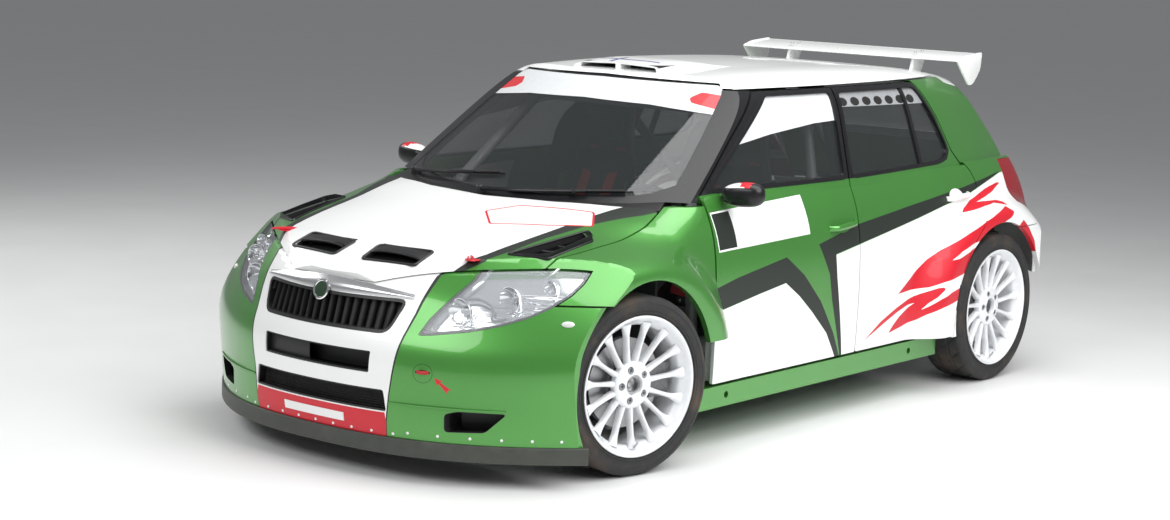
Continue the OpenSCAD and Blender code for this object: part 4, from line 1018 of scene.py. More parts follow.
tow_in = [(447 + 31.2 * math.cos(t), 384 + 31.2 * math.sin(t))
          for t in np.linspace(0, 2 * np.pi, 40, endpoint=False)]
paint(fb, tow, "y", DGREEN, -2100, -1500)
paint(fb, tow_in, "y", GREEN, -2100, -1500)
arrow = [(486 + 0.735 * a + 0.678 * b, 372 - 0.678 * a + 0.735 * b)
         for a, b in ((0, 0), (26, 13), (22, 4), (66, 9), (58, 0), (66, -9), (22, -4), (26, -13))]
paint(fb, arrow, "y", RED, -2100, -1500)
# Painted shade: a black ellipse under the tow strap's loop stands in for the shade beneath it.
paint(fb, [(447 + 26 * math.cos(t), 388 + 8 * math.sin(t))
           for t in np.linspace(0, 2 * np.pi, 28, endpoint=False)], "y", BLACK, -2100, -1500)
fb.name = "front_bumper_skin"
done(fb, "body", ["front_bumper"])

# ledge above each bumper duct, its inner box, tow strap, rivets and plate
for s, side in ((1, "left"), (-1, "right")):
    parts = []
    a = np.array([[(x * s, float(nose_y(x, 272)) - d, 270 + 2 * k) for k in (0, 1, 2)] for x, d in
                  zip(np.linspace(330, 700, 26), 9 * np.sin(np.linspace(0.12, 1, 26) * np.pi * 0.92)**0.6)])
    bsh = a + (0, 22, 0)
    ledge = between("ledge", a, bsh)
    base_material(ledge, GREEN)
    box_out = [(505, 184), (650, 190), (712, 268), (505, 268)]
    rows = []
    for d in (16, 70, 110):
        rows.append([(x * s, float(nose_y(x, z)) + d, z) for x, z in rounded(box_out, 12, 3)])
    n = len(rows[0])
    v = [p for r in rows for p in r]
    f = [(i * n + k, i * n + (k + 1) % n, (i + 1) * n + (k + 1) % n, (i + 1) * n + k) for i in range(2)
         for k in range(n)]
    f.append(tuple(range(2 * n, 3 * n)))
    tray = add_mesh("tray", v, f)
    base_material(tray, BLACK)
    done(join("bumper_duct_" + side, [ledge, tray]), "body")

parts = []
for x in np.linspace(-340, 340, 9):
    parts.append((x, 163))
for x in (395, 497, 597, 686, 766, 838):
    parts += [(x, 172), (-x, 172)]
riv = []
for x, z in parts:
    y = float(nose_y(x, z))
    o = lathe("rivet", [(-0.5, 0.3), (-0.5, 5.4), (1.6, 4.8), (2.9, 2.6), (3.3, 0.3)], 14, (0, 0, 0), "y")
    o.data.transform(Matrix.Rotation(math.pi, 4, "X"))
    slope_x = float(nose_y(abs(x) + 5, z) - nose_y(max(0, abs(x) - 5), z)) / 10 * (1 if x > 0 else -1)
    moved(o, Matrix.Translation(Vector((x, y, z)) * K) @ Matrix.Rotation(math.atan(slope_x), 4, "Z"))
    base_material(o, WHITE)
    riv.append(o)
done(join("bumper_rivets", riv), "body")
xs = np.linspace(-150, 140, 15)
plate = between("blank_plate", np.array([[(x, float(nose_y(x, z)) - 3.2, z) for z in (180, 195, 210)]
                                         for x in xs]),
                np.array([[(x, float(nose_y(x, z)) - 0.2, z) for z in (180, 195, 210)] for x in xs]))
base_material(plate, WHITE)
done(plate, "body")
strap = []
for i, t in enumerate(np.linspace(-20, 20, 12)):
    bulge = 9 * math.cos(t / 20 * math.pi / 2)
    strap.append([(447 + t, float(nose_y(447 + t, 388)) - bulge - k, 382 + 6 * j)
                  for j, k in ((0, 0), (1, 2.5), (2, 0))])
strap = np.array(strap)
st = between("tow_strap", strap, strap + (0, 2.5, 0))
base_material(st, WEB)
done(st, "body")

# ---------------------------------------------------------------- splitter
edge = [(x, float(nose_y(x, 150)) - 9) for x in np.linspace(-905, 905, 81)]
rows_o, rows_i = [], []
prof = [(90, 3), (93, 0), (120, -1), (146, 0), (149.4, 3)]
for i, (x, y) in enumerate(edge):
    a, c = edge[max(0, i - 1)], edge[min(80, i + 1)]
    d = np.array([c[0] - a[0], c[1] - a[1]])
    d = d / np.linalg.norm(d)
    n = np.array([-d[1], d[0]])
    rows_o.append([(x + n[0] * k, y + n[1] * k, z) for z, k in prof])
    rows_i.append([(x + n[0] * 20, y + n[1] * 20, z) for z, k in prof])
sp = between("splitter_blade", np.array(rows_o), np.array(rows_i))
tray_line = edge + [(880, -1590), (600, -1575), (-600, -1575), (-880, -1590)]
weld(sp, prism([(x * 0.99, y + 4) for x, y in tray_line], "z", 90, 102))
base_material(sp, SPLIT)
done(sp, "body", ["splitter"])


# ---------------------------------------------------------------- grille, slot and intake
parts = []


def frame_ring(line, depth0, depth1, width, mat):
    """A rim following the nose surface along an outline."""
    o = nose_panel(depth1 - depth0, min(p[1] for p in line) - 20, max(p[1] for p in line) + 20, depth0)
    keep(o, prism(line, "y", -2200, -1500, -0.3))
    cut(o, prism(line, "y", -2200, -1500, -width))
    return base_material(o, mat)


parts.append(frame_ring(grille2, 2, 34, 11, BLACK))
parts.append(frame_ring(slot2, 5, 34, 6, BLACK))
parts.append(frame_ring(intake2, 5, 34, 6, BLACK))
for i in range(-9, 10):
    x = i * 34.5
    rows_a, rows_b = [], []
    for z in np.linspace(504, 614, 12):
        if abs(x) > 296 + (z - 500) / 118 * 40 - 8:
            continue
        y = float(nose_y(x, z)) + 12
        rows_a.append([(x - 8.5, y + 17, z), (x - 4.5, y + 3, z), (x, y - 1.5, z), (x + 4.5, y + 3, z),
                       (x + 8.5, y + 17, z)])
        rows_b.append([(x - 8.5, y + 24, z), (x - 4.5, y + 24, z), (x, y + 24, z), (x + 4.5, y + 24, z),
                       (x + 8.5, y + 24, z)])
    if len(rows_a) > 2:
        parts.append(base_material(between("slat", np.array(rows_a), np.array(rows_b)), BLACK))
back_plate = nose_panel(3, 470, 640, 40)
keep(back_plate, prism(grille2, "y", -2200, -1500, -1))
parts.append(base_material(back_plate, MESH))
panel = nose_panel(4, 340, 460, 22)
keep(panel, prism(slot2, "y", -2200, -1500, -1))
cut(panel, prism(rounded([(-30, 372), (246, 372), (249, 434), (-30, 434)], 5), "y", -2200, -1500))
parts.append(base_material(panel, BLACK))
panel = nose_panel(3, 340, 460, 70)
keep(panel, prism(slot2, "y", -2200, -1500, -1))
parts.append(base_material(panel, MESH))
panel = nose_panel(3, 215, 335, 62)
keep(panel, prism(intake2, "y", -2200, -1500, -1))
parts.append(base_material(panel, MESH))
for i in range(-31, 32):
    x = i * 9.9
    if abs(x) < 306:
        parts.append(base_material(pipe("wire", [(x, float(nose_y(x, z)) + 30, z)
            for z in (240, 262, 286, 310)], 1.1, 5), MESH))
for z in np.linspace(246, 306, 8):
    parts.append(base_material(pipe("wire", [(x, float(nose_y(x, z)) + 29, z)
        for x in np.linspace(-308, 308, 25)], 1.1, 5), MESH))
g = join("grille_set", parts)
done(g, "body", ["grille"])

# bright strip over the grille and the plain round badge
strip = []
for x in np.linspace(-352, 352, 61):
    top = 634 + 34 * (1 - (abs(x) / 352)**1.6)
    low = 619 + 3 * (1 - (abs(x) / 352)**2)
    top, low = (top, low)
    strip.append([(x, float(nose_y(x, z)) - 2 - 7 * math.sin(math.pi * k), z) for k, z in
                  ((k, low + (top - low) * k) for k in np.linspace(0, 1, 7))])
strip = np.array(strip)
sb = between("grille_bright_strip", strip,
             np.array([[(p[0], float(nose_y(p[0], p[2])) + 4, p[2]) for p in r] for r in strip]))
base_material(sb, SILVER)
done(sb, "body")
badge = lathe("round_badge", [(0, 0.4), (0, 36), (6, 37), (9, 34), (8.5, 30), (6.5, 28), (7.5, 14), (8.2, 0.4)],
              64, (0, 0, 0), "y")
badge.data.transform(Matrix.Rotation(math.pi, 4, "X"))
moved(badge, Matrix.Translation(Vector((0, float(nose_y(0, 622)) - 5,
                                        618)) * K) @ Matrix.Rotation(math.radians(-18), 4, "X"))
base_material(badge, CHROME)
badge.data.materials.append(DGREEN)
for q in badge.data.polygons:
    r = (q.center - Vector((0, float(nose_y(0, 622)) - 5, 618)) * K).length / K
    if r < 26:
        q.material_index = 1
done(badge, "body")

# ---------------------------------------------------------------- headlamps
for s, side in ((1, "left"), (-1, "right")):
    line = rounded(lamp_line, 10)
    line = line if s > 0 else mirror_line(line)
    lens = nose_panel(4, 480, 800, 1.0)
    keep(lens, inside_front(SKIN + GAP + 3), prism(line, "y", -2100, -1300, -1.0))
    base_material(lens, LENS)
    lens.name = "lamp_lens_" + side
    done(lens, "body", [] if s < 0 else [])
    rim = nose_panel(30, 480, 800, 2.0)
    keep(rim, inside_front(SKIN + GAP + 3), prism(line, "y", -2100, -1300, -0.5))
    cut(rim, prism(line, "y", -2100, -1300, -9))
    base_material(rim, GLOSS)
    rim.name = "lamp_rim_" + side
    done(rim, "body")
    bowl = nose_panel(3, 480, 800, 58)
    keep(bowl, inside_front(SKIN + GAP + 3), prism(line, "y", -2100, -1300, -6))
    base_material(bowl, CHROME)
    wall = nose_panel(52, 480, 800, 6)
    keep(wall, inside_front(SKIN + GAP + 3), prism(line, "y", -2100, -1300, -6))
    cut(wall, prism(line, "y", -2200, -1200, -8.5))
    base_material(wall, CHROME)
    bits = [bowl, wall]
    for cx, cz, r, dep in ((500, 585, 47, 34), (622, 632, 44, 34), (710, 668, 26, 30)):
        y = float(nose_y(cx, cz)) + 50
        o = lathe("reflector", [(0, 2), (-3, r * 0.45), (-dep * 0.55, r * 0.82), (-dep, r), (-dep, r + 2.5),
                                (-dep * 0.5, r * 0.9), (4, r * 0.5), (6, 2)], 48, (cx * s, y, cz), "y")
        bits.append(base_material(o, CHROME))
        bits.append(base_material(lathe("bulb", [(-24, 0.5), (-22, 6), (-12, 9), (2, 9), (2, 0.5)], 20,
                                        (cx * s, y, cz), "y"), SILVER))
    for j in range(7):
        z = 540 + j * 17
        x0, x1 = 470 + j * 26, 560 + j * 24
        bits.append(base_material(pipe("flute", [(x * s, float(nose_y(x, z)) + 46, z)
            for x in np.linspace(x0, min(x1 + 60, 770), 8)], 3.2, 6), CHROME))
    blk = pipe("visor", [(x * s, float(nose_y(x, z)) + 20, z)
                         for x, z in ((470, 622), (540, 630), (590, 606), (600, 560), (640, 572))], 5, 8, 20)
    bits.append(base_material(blk, GLOSS))
    done(join("lamp_unit_" + side, bits), "body", ["headlamps"] if s > 0 else [])


# ---------------------------------------------------------------- doors
chevron = [(-744, 596), (-600, 625), (-283, 671), (-160, 590), (-39, 475), (60, 340), (118, 232),
           (88, 232), (10, 345), (-98, 440), (-190, 512), (-287, 573), (-470, 548), (-744, 508)]
limb = [(120, 232), (40, 470), (16, 578), (-22, 640), (-61, 700), (204, 752), (600, 792), (1100, 838),
        (1464, 880),
        (1462, 876), (1100, 806), (700, 744), (300, 686), (60, 652), (72, 560), (104, 400), (134, 232)]
white_side = [(128, 225), (100, 400), (68, 562), (58, 648), (300, 684), (700, 742), (1100, 804), (1466, 874),
              (1560, 880), (2100, 900), (2100, 100), (128, 100)]
white_front = [(-744, 506), (-470, 547), (-287, 572), (-190, 511), (-98, 439), (10, 344), (88, 232), (90, 100),
               (-744, 100)]
swoosh_big = [(538, 442), (624, 494), (732, 568), (802, 604), (970, 666), (1100, 706), (1202, 732), (1310, 752),
              (1348, 728),
              (1308, 708), (1224, 684), (1138, 646), (1076, 592), (1006, 516), (884, 494), (784, 476),
              (718, 456), (650, 450)]
swoosh_slit = [(836, 562), (904, 596), (994, 622), (1052, 628), (1016, 608), (960, 588), (878, 566)]
swoosh_low = [(294, 278), (414, 342), (528, 384), (622, 412), (660, 424), (706, 438), (752, 452), (778, 454),
              (784, 446),
              (748, 416), (710, 392), (680, 364), (704, 374), (762, 406), (824, 428), (892, 442), (892, 394),
              (848, 384),
              (774, 372), (702, 344), (660, 322), (586, 304), (478, 286), (512, 316), (556, 346), (608, 370),
              (656, 394),
              (618, 388), (542, 368), (432, 330), (338, 294)]
swoosh_hook = [(992, 744), (1020, 760), (1098, 786), (1276, 820), (1418, 838), (1438, 832), (1334, 806),
               (1132, 778),
               (1166, 778), (1292, 776), (1336, 766), (1344, 752), (1302, 760), (1248, 768), (1152, 760),
               (1058, 750)]
swoosh_band = [(1370, 658), (1414, 688), (1464, 652), (1526, 586), (1548, 524), (1542, 484), (1518, 482),
               (1498, 554), (1450, 608)]
frame_area = [(-760, 925), (-640, 931), (214, 929), (274, 929), (980, 942), (1066, 954), (1106, 990),
              (1058, 1130), (966, 1278), (962, 1420), (-760, 1420)]
front_window2, rear_window2 = rounded(front_window, 18), rounded(rear_window, 26)
front_door2, rear_door2 = rounded(front_door_line, 7, 3), rounded(rear_door_line, 16, 3)


def graphics(ob, rear=False):
    paint(ob, white_side, "x", WHITE, 300, 1100)
    paint(ob, white_front, "x", WHITE, 300, 1100)
    paint(ob, chevron, "x", DARK, 300, 1100)
    paint(ob, limb, "x", DARK, 300, 1100)
    for q, mat in ((swoosh_big, RED), (swoosh_slit, WHITE), (swoosh_low, RED), (swoosh_hook, RED)):
        paint(ob, rounded(q, 5, 2), "x", mat, 300, 1100)
    paint(ob, frame_area, "x", GLOSS, 300, 1100)
    if rear:
        paint(ob, rounded(swoosh_band, 5, 2), "x", RED, 300, 1100)
    return ob


def door(line, window, y0, y1):
    lo, hi = min(p[0] for p in line), max(p[0] for p in line)
    outer = flank(max(lo - 2, -742.5), hi + 2, 232, 925, 0, 14, 15)
    keep(outer, prism(line, "x", 380, 1000, -GAP))
    inner = flank(max(lo - 2, -742.5), hi + 2, 232, 925, 13, 52, 24)
    keep(inner, prism(line, "x", 380, 1000, -GAP - 16))
    fr = cabin_left(0, 22, y0, y1)
    keep(fr, prism(line, "x", 380, 1000, -GAP - 2), block((380, -1100, 900), (900, 1500, 1300)))
    cut(fr, prism(window, "x", 380, 1000))
    weld(outer, inner)
    weld(outer, fr)
    base_material(outer, GREEN)
    graphics(outer)
    if lo < -700:
        paint(outer, [(-728, 870), (-125, 893), (-116, 745), (-716, 727)], "x", WHITE, 300, 1100)
        paint(outer, [(-722, 864), (-612, 868), (-600, 738), (-711, 734)], "x", DARK, 300, 1100)
    return outer


def handle(name, y0, y1, z, mat):
    """Bow handle over a shallow dished plate."""
    ys = np.linspace(y0, y1, 21)
    bow, base = [], []
    for k, y in zip(np.linspace(0, 1, 21), ys):
        h = 26 * min(1, math.sin(math.pi * k) * 2.2)**0.7 if 0 < k < 1 else 0
        x = float(side_x(y, z))
        r = 10 + 3 * math.sin(math.pi * k)
        bow.append([(x + h + r * 0.7 * math.cos(t) - 3, y, z + (y - y0) * 0.08 + r * math.sin(t))
                    for t in np.linspace(0, 2 * math.pi, 13)[:-1]])
    n = 12
    v = [p for r in bow for p in r]
    f = [(i * n + k, i * n + (k + 1) % n, (i + 1) * n + (k + 1) % n, (i + 1) * n + k) for i in range(20)
         for k in range(n)]
    f += [tuple(range(n - 1, -1, -1)), tuple(range(20 * n, 21 * n))]
    a = base_material(outward(add_mesh("bow", v, f)), mat)
    plate = []
    for t in np.linspace(0, 2 * math.pi, 33)[:-1]:
        y, zz = (y0 + y1) / 2 + (y1 - y0) * 0.34 * math.cos(t), z + 8 + 30 * math.sin(t)
        plate.append((float(side_x(y, zz)) + 0.8, y, zz))
    c = np.mean(plate, axis=0)
    v = plate + [tuple(np.array(p) * 0.15 + c * 0.85 + (0.4, 0, 0)) for p in plate]
    f = [(i, (i + 1) % 32, 32 + (i + 1) % 32, 32 + i) for i in range(32)] + [tuple(range(32, 64))]
    b = base_material(add_mesh("dish", v, f), mat)
    return join(name, [a, b])


fd = door(front_door2, front_window2, -760, 310)
rd = door(rear_door2, rear_window2, 215, 1180)
fd.name, rd.name = "front_door_left_skin", "rear_door_left_skin"
fh = handle("front_handle_left", 20, 205, 752, GREEN)
rh = handle("rear_handle_left", 945, 1105, 800, WHITE)
for o, name, body, node in ((fd, "front_door_right_skin", "door_fr", "door_front_right"),
                            (rd, "rear_door_right_skin", "door_rr", "door_rear_right")):
    done(mirrored(o, name), body, [node])
done(fd, "door_fl", ["door_front_left"])
done(rd, "door_rl", ["door_rear_left"])
done(mirrored(fh, "front_handle_right"), "door_fr")
done(mirrored(rh, "rear_handle_right"), "door_rr")
done(fh, "door_fl")
done(rh, "door_rl")


def seal(name, line, y0, y1):
    """Black surround of a side window, proud of the frame."""
    o = cabin_left(-1.2, 8, y0, y1)
    keep(o, prism(line, "x", 380, 1000, 15))
    cut(o, prism(line, "x", 380, 1000, 0.4))
    return base_material(o, GLOSS)


for name, line, y0, y1, bl, br, outer in (("front_window_seal", front_window2, -700, 290, "door_fl", "door_fr",
                                           front_door2),
                                          ("rear_window_seal", rear_window2, 250, 1130, "door_rl", "door_rr",
                                           rear_door2)):
    o = seal(name + "_left", line, y0, y1)
    keep(o, prism(outer, "x", 380, 1000, -GAP - 2.5))
    done(mirrored(o, name + "_right"), br)
    done(o, bl)

# side glass with its painted bands
for name, line, y0, y1, bl, br, nodes in (("front_side_glass", front_window2, -680, 290, "door_fl", "door_fr",
                                           ("glass_front_left", "glass_front_right")),
                                          ("rear_side_glass", rear_window2, 240, 1120, "door_rl", "door_rr",
                                           ("glass_rear_left", "glass_rear_right"))):
    o = cabin_left(9, 14, y0, y1)
    keep(o, prism(line, "x", 380, 1000, -0.3))
    base_material(o, GLASS)
    if name.startswith("front"):
        paint(o, [(-480, 1085), (-300, 1400), (400, 1400), (400, 1160), (100, 1150), (-200, 1122)], "x", BAND,
              300, 1100)
    else:
        top = [(200, 1300), (200, 1206), (1010, 1190), (1100, 1300)]
        paint(o, top, "x", GREYBAND, 300, 1100)
        for k in range(7):
            cy, cz = 345 + k * 92, 1222 - k * 1.5
            paint(o, [(cy + 33 * math.cos(t), cz + 17 * math.sin(t))
                      for t in np.linspace(0, 2 * np.pi, 20, endpoint=False)], "x", MESH, 300, 1100)
    done(mirrored(o, name + "_right"), br, [nodes[1]])
    o.name = name + "_left"
    done(o, bl, [nodes[0]])
# quarter divider in the rear window
o = cabin_left(2, 16, 700, 1000)
keep(o, prism([(820, 930), (846, 930), (850, 1262), (824, 1262)], "x", 380, 1000),
     prism(rear_window2, "x", 380, 1000, 2))
base_material(o, GLOSS)
done(mirrored(o, "rear_divider_right"), "door_rr")
o.name = "rear_divider_left"
done(o, "door_rl")

# ---------------------------------------------------------------- mirrors
for s, side, body in ((1, "left", "door_fl"), (-1, "right", "door_fr")):
    bm = bmesh.new()
    bmesh.ops.create_uvsphere(bm, u_segments=40, v_segments=24, radius=1)
    for v in bm.verts:
        x, y, z = v.co
        x = math.copysign(abs(x)**0.72, x)
        y = math.copysign(abs(y)**0.8, y) * (1.05 if y < 0 else 0.55)
        z = math.copysign(abs(z)**0.7, z)
        v.co = Vector((x * 84, y * 46, z * 46 * (1 - 0.16 * (x < 0) * abs(x)) + 4 * x)) * K
    me = bpy.data.meshes.new("mirror")
    bm.to_mesh(me)
    bm.free()
    o = bpy.data.objects.new("mirror_shell", me)
    SCENE.collection.objects.link(o)
    base_material(o, GLOSS)
    me.materials.append(RED)
    me.materials.append(WHITE)
    me.materials.append(CHROME)
    for q in me.polygons:
        c = q.center / K
        if q.normal.z > 0.55 and c.z > 20 and -70 < c.x < 40:
            q.material_index = 1 if (c.x + c.y * 0.9) > -26 else 2
        if q.normal.y > 0.86 and abs(c.x) < 72 and abs(c.z) < 38:
            q.material_index = 3
    moved(o, Matrix.Translation(Vector((826, -606, 935)) * K) @ Matrix.Rotation(math.radians(8), 4, "Z"))
    stalk = pipe("stalk", [(float(side_x(-622, 905)) + 1, -626, 918), (762, -620, 922), (800, -612, 928)],
                 [17, 13, 12], 16)
    base_material(stalk, GLOSS)
    j = join("mirror_" + side + "_shell", [o, stalk])
    if s < 0:
        j.data.transform(Matrix.Scale(-1, 4, (1, 0, 0)))
        j.data.flip_normals()
    done(j, body, ["mirror_" + side], angle=50)


# ---------------------------------------------------------------- rear quarters
q = flank(850, 1990, 236, 935, 0, SKIN, 15)
keep(q, ahead_of_tail(0))
up = cabin_left(0, SKIN, 900, 1760)
keep(up, ahead_of_tail(0), prism([(960, 925), (1800, 925), (1800, 1282), (960, 1282)], "x", 380, 1000))
weld(q, up)
cut(q, prism(rear_door2, "x", 380, 1000, GAP), barrel(450, 1050, REAR_Y, WHEEL_Z, ARCH_R),
    prism(tailgate_line, "y", 1320, 2100, GAP), prism(rounded(tail_lamp_line, 10), "y", 1500, 2100, 0.3),
    block((300, REAR_Y, 0), (1000, 2100, 660)))
base_material(q, GREEN)
graphics(q, True)
c_right = mirrored(q, "rq")
qq = join("rear_quarter_pair", [q, c_right])
done(qq, "body", ["rear_quarters"])

# ---------------------------------------------------------------- rear bumper
rb = tail_panel(SKIN + 6, 190, 706, -860, 860)
ys, zs = np.linspace(1200, 2010, 60), np.linspace(150, 940, 50)
Y, Z = np.meshgrid(ys, zs, indexing="ij")
X = side_x(Y, Z)


def side_solid():
    a = np.stack([X, Y, Z], 2)
    return between("cutter", a, a * (-1, 1, 1))


keep(rb, side_solid())
for s in (1, -1):
    fl_ = flank(REAR_Y, 1990, 250, 656, 0, SKIN, 15)
    if s < 0:
        m_ = mirrored(fl_, "x")
        bpy.data.objects.remove(fl_)
        fl_ = m_
    keep(fl_, ahead_of_tail(0))
    weld(rb, fl_)
lower = [(-1000, 0), (-1000, 440), (-760, 430), (-640, 300), (-420, 210), (420, 210), (640, 300), (760, 430),
         (1000, 440), (1000, 0)]
cut(rb, barrel(450, 1050, REAR_Y, WHEEL_Z, ARCH_R), barrel(-1050, -450, REAR_Y, WHEEL_Z, ARCH_R),
    prism(rounded(lower, 24), "y", 1000, 2100), block((640, 1000, 656), (1000, 2100, 760)),
    block((-1000, 1000, 656), (-640, 2100, 760)),
    prism([(-180 + 56 * math.cos(t), 212 + 56 * math.sin(t))
           for t in np.linspace(0, 2 * np.pi, 48, endpoint=False)], "y", 1700, 2100))
base_material(rb, WHITE)
for s in (1, -1):
    line = [(p[0], p[1]) for p in rounded(swoosh_band, 5, 2)]
    paint(rb, line, "x", RED, 300 if s > 0 else -1100, 1100 if s > 0 else -300)
paint(rb, [(-330, 330), (-330, 215), (330, 215), (330, 330)], "y", DARK, 1800, 2100)
paint(rb, [(-560, 560), (-560, 520), (560, 520), (560, 560)], "y", GREEN, 1800, 2100)
rb.name = "rear_bumper_skin"
done(rb, "body", ["rear_bumper"])
rp = between("rear_blank_plate", np.array([[(x, float(tail_y(x, z)) + 3.2, z) for z in (420, 450, 480, 510)]
                                           for x in np.linspace(-260, 260, 15)]),
             np.array([[(x, float(tail_y(x, z)) + 0.2, z) for z in (420, 450, 480, 510)]
                       for x in np.linspace(-260, 260, 15)]))
base_material(rp, WHITE)
done(rp, "body")
tip = lathe("tail_pipe_tip", [(1930, 34), (1992, 36), (1992, 39), (1925, 38)], 48, (-180, 0, 211), "y")
base_material(tip, STEEL)
done(tip, "body")

# ---------------------------------------------------------------- tail lamps
lamp2r = rounded(tail_lamp_line, 10)
parts = []
for s in (1, -1):
    o = tail_panel(16, 680, 940, 480, 860)
    core = flank(1480, 1990, 690, 935, 0, 16, 10)
    keep(core, ahead_of_tail(0))
    keep(o, side_solid())
    weld(o, core)
    keep(o, prism(lamp2r, "y", 1500, 2100, -1.0), block((400, 1400, 707), (1000, 2100, 1000)))
    cut(o, prism(tailgate_line, "y", 1320, 2200, GAP))
    base_material(o, TAILRED)
    paint(o, [(560, 800), (700, 800), (690, 838), (560, 838)], "y", TAILWHITE, 1500, 2100)
    if s < 0:
        m_ = mirrored(o, "x")
        bpy.data.objects.remove(o)
        o = m_
    parts.append(o)
done(join("tail_lamp_pair", parts), "body", ["tail_lamps"])

# ---------------------------------------------------------------- tailgate and its glass
tg = cabin_solid(0)
cut(tg, cabin_solid(30))
keep(tg, ahead_of_tail(0), block((-900, 1340, 1200), (900, 1800, 1500)))
tp = tail_panel(34, 712, 1345, -640, 640)
hull = cabin_solid(0)
weld(hull, block((-800, 1600, 600), (800, 2100, 960)))
keep(tp, hull)
weld(tg, tp)
keep(tg, prism(rounded(tailgate_line, 14, 3), "y", 1300, 2100, -GAP))
glass_line2 = rounded(rear_glass_line, 30)
cut(tg, block((-900, 1000, 1000), (900, 1346.4, 1500)), prism(glass_line2, "y", 1300, 2100, 0))
base_material(tg, WHITE)
paint(tg, [(-560, 960), (-560, 700), (560, 700), (560, 960)], "y", GREEN, 1400, 2100)
paint(tg, [(-600, 700), (-600, 745), (600, 745), (600, 700)], "y", DARK, 1400, 2100)
tg.name = "tailgate_skin"
done(tg, "tailgate", ["tailgate"])
gl = tail_panel(13, 980, 1260, -500, 500)
keep(gl, ahead_of_tail(8), prism(glass_line2, "y", 1300, 2100, -0.3))
base_material(gl, GLASS)
gl.name = "tailgate_window"
done(gl, "tailgate", ["tailgate_glass"])
seal_ = tail_panel(9, 970, 1270, -510, 510, 1.2)
keep(seal_, prism(glass_line2, "y", 1300, 2100, 16))
cut(seal_, prism(glass_line2, "y", 1300, 2100, 0.3))
base_material(seal_, GLOSS)
seal_.name = "tailgate_window_seal"
done(seal_, "tailgate")
gh = pipe("tailgate_grip", [(x, float(tail_y(x, 760)) + 6 + 10 * (1 - (x / 120)**4), 762)
                            for x in np.linspace(-120, 120, 21)], 9, 12)
base_material(gh, BLACK)
done(gh, "tailgate")

# ---------------------------------------------------------------- rear wing
sec = []
for t in np.linspace(0, 1, 25):
    sec.append((202 * t, 6 + 26 * math.sin(min(1, t * 1.3) * math.pi / 2)**0.8 * 0.86 + 8 * t**3))
low_ = [(202 * t, 4 + 22 * t**1.6 - 6 * math.sin(math.pi * t) + 2 * t) for t in np.linspace(1, 0, 25)[1:-1]]
profile = sec + low_
v, f = [], []
n = len(profile)
spans = np.linspace(-565, 565, 31)
for x in spans:
    for a, b_ in profile:
        v.append((x, 1342 + a, 1348 + b_))
for i in range(len(spans) - 1):
    for k in range(n):
        f.append((i * n + k, i * n + (k + 1) % n, (i + 1) * n + (k + 1) % n, (i + 1) * n + k))
f += [tuple(range(n - 1, -1, -1)), tuple(range((len(spans) - 1) * n, len(spans) * n))]
blade = base_material(outward(add_mesh("blade", v, f)), WHITE)
parts = [blade]
end_line = rounded([(0, 10), (70, 30), (216, 42), (206, -36), (150, -96), (112, -104), (44, -36)], 16, 5)
for s in (1, -1):
    o = prism([(1342 + a, 1348 + b_) for a, b_ in end_line], "x", min(565 * s, 573 * s), max(565 * s, 573 * s))
    bv = o.modifiers.new("b", "BEVEL")
    bv.width, bv.segments, bv.limit_method = 0.0022, 2, "ANGLE"
    bpy.context.view_layer.update()
    o.data = bpy.data.meshes.new_from_object(o.evaluated_get(bpy.context.evaluated_depsgraph_get()))
    o.modifiers.clear()
    parts.append(base_material(o, WHITE))
    o = prism(rounded([(1350, 1280), (1420, 1270), (1476, 1362), (1376, 1357)], 10, 4), "x", 330 * s - 7,
              330 * s + 7)
    cs = cabin_solid(0)
    cs.data.transform(Matrix.Translation((0, 0, 0.0004)))
    cut(o, cs)
    parts.append(base_material(o, WHITE))
    bolt = []
    for y, z in ((1392, 1356), (1450, 1362)):
        bolt.append(base_material(lathe("bolt", [(0, 0.4), (0, 7), (4, 6.4), (4.6, 0.4)], 16,
                                        (330 * s, y, z + 21), "z"), STEEL))
    parts += bolt
done(join("rear_wing_assembly", parts), "tailgate", ["rear_wing"])

# ---------------------------------------------------------------- roof, scoop, windscreen and pillars
rf = cabin_shell(0, SKIN, -500, 1500, 20)
keep(rf, behind_screen(0), ahead_of_tail(0), block((-900, -1000, 1290), (900, 1340, 1500)))
header = [(-540, 1000), (540, 1000), (540, 1291), (500, 1291), (480, 1308), (0, 1318), (-480, 1308),
          (-500, 1291), (-540, 1291)]
cut(rf, prism(header, "y", -500, -210))
base_material(rf, WHITE)
rf.name = "roof_skin"
done(rf, "body", ["roof"])


def scoop_z(x, y, h):
    r = max(0.0, 1 - (abs(x) / 231)**4)**0.5
    return 1323 + (y + 330) * 0.045 + h * r


hs = [[-330, 34], [-255, 40], [-180, 41], [-105, 38], [-30, 30], [45, 18], [130, 2]]
ys_, xs_ = np.linspace(-330, 130, 47), np.linspace(-231, 231, 61)
top = np.array([[(x, y, max(scoop_z(x, y, float(curve(y, hs))), 1318)) for x in xs_] for y in ys_])
low_ = top.copy()
low_[:, :, 2] = 1316
sc = between("roof_scoop", top, low_)
cut(sc, prism(rounded([(-192, 1329), (-186, 1347), (-12, 1353), (-12, 1329)], 5), "y", -360, -150),
    prism(rounded([(192, 1329), (186, 1347), (12, 1353), (12, 1329)], 5), "y", -360, -150))
base_material(sc, WHITE)
paint(sc, [(-150, -262), (-150, -246), (150, -246), (150, -262)], "z", BLUE, 1340, 1400)
paint(sc, [(-62, -312), (-62, -196), (-44, -196), (-44, -312)], "z", BLUE, 1340, 1400)
# Painted shade: the walls and back of the two scoop openings get plain black, standing in for the shade inside
# the intakes.
for x0, x1 in ((-200, -6), (6, 200)):
    paint(sc, [(x0, 1325), (x1, 1325), (x1, 1356), (x0, 1356)], "y", BLACK, -329, -149)
done(sc, "body")

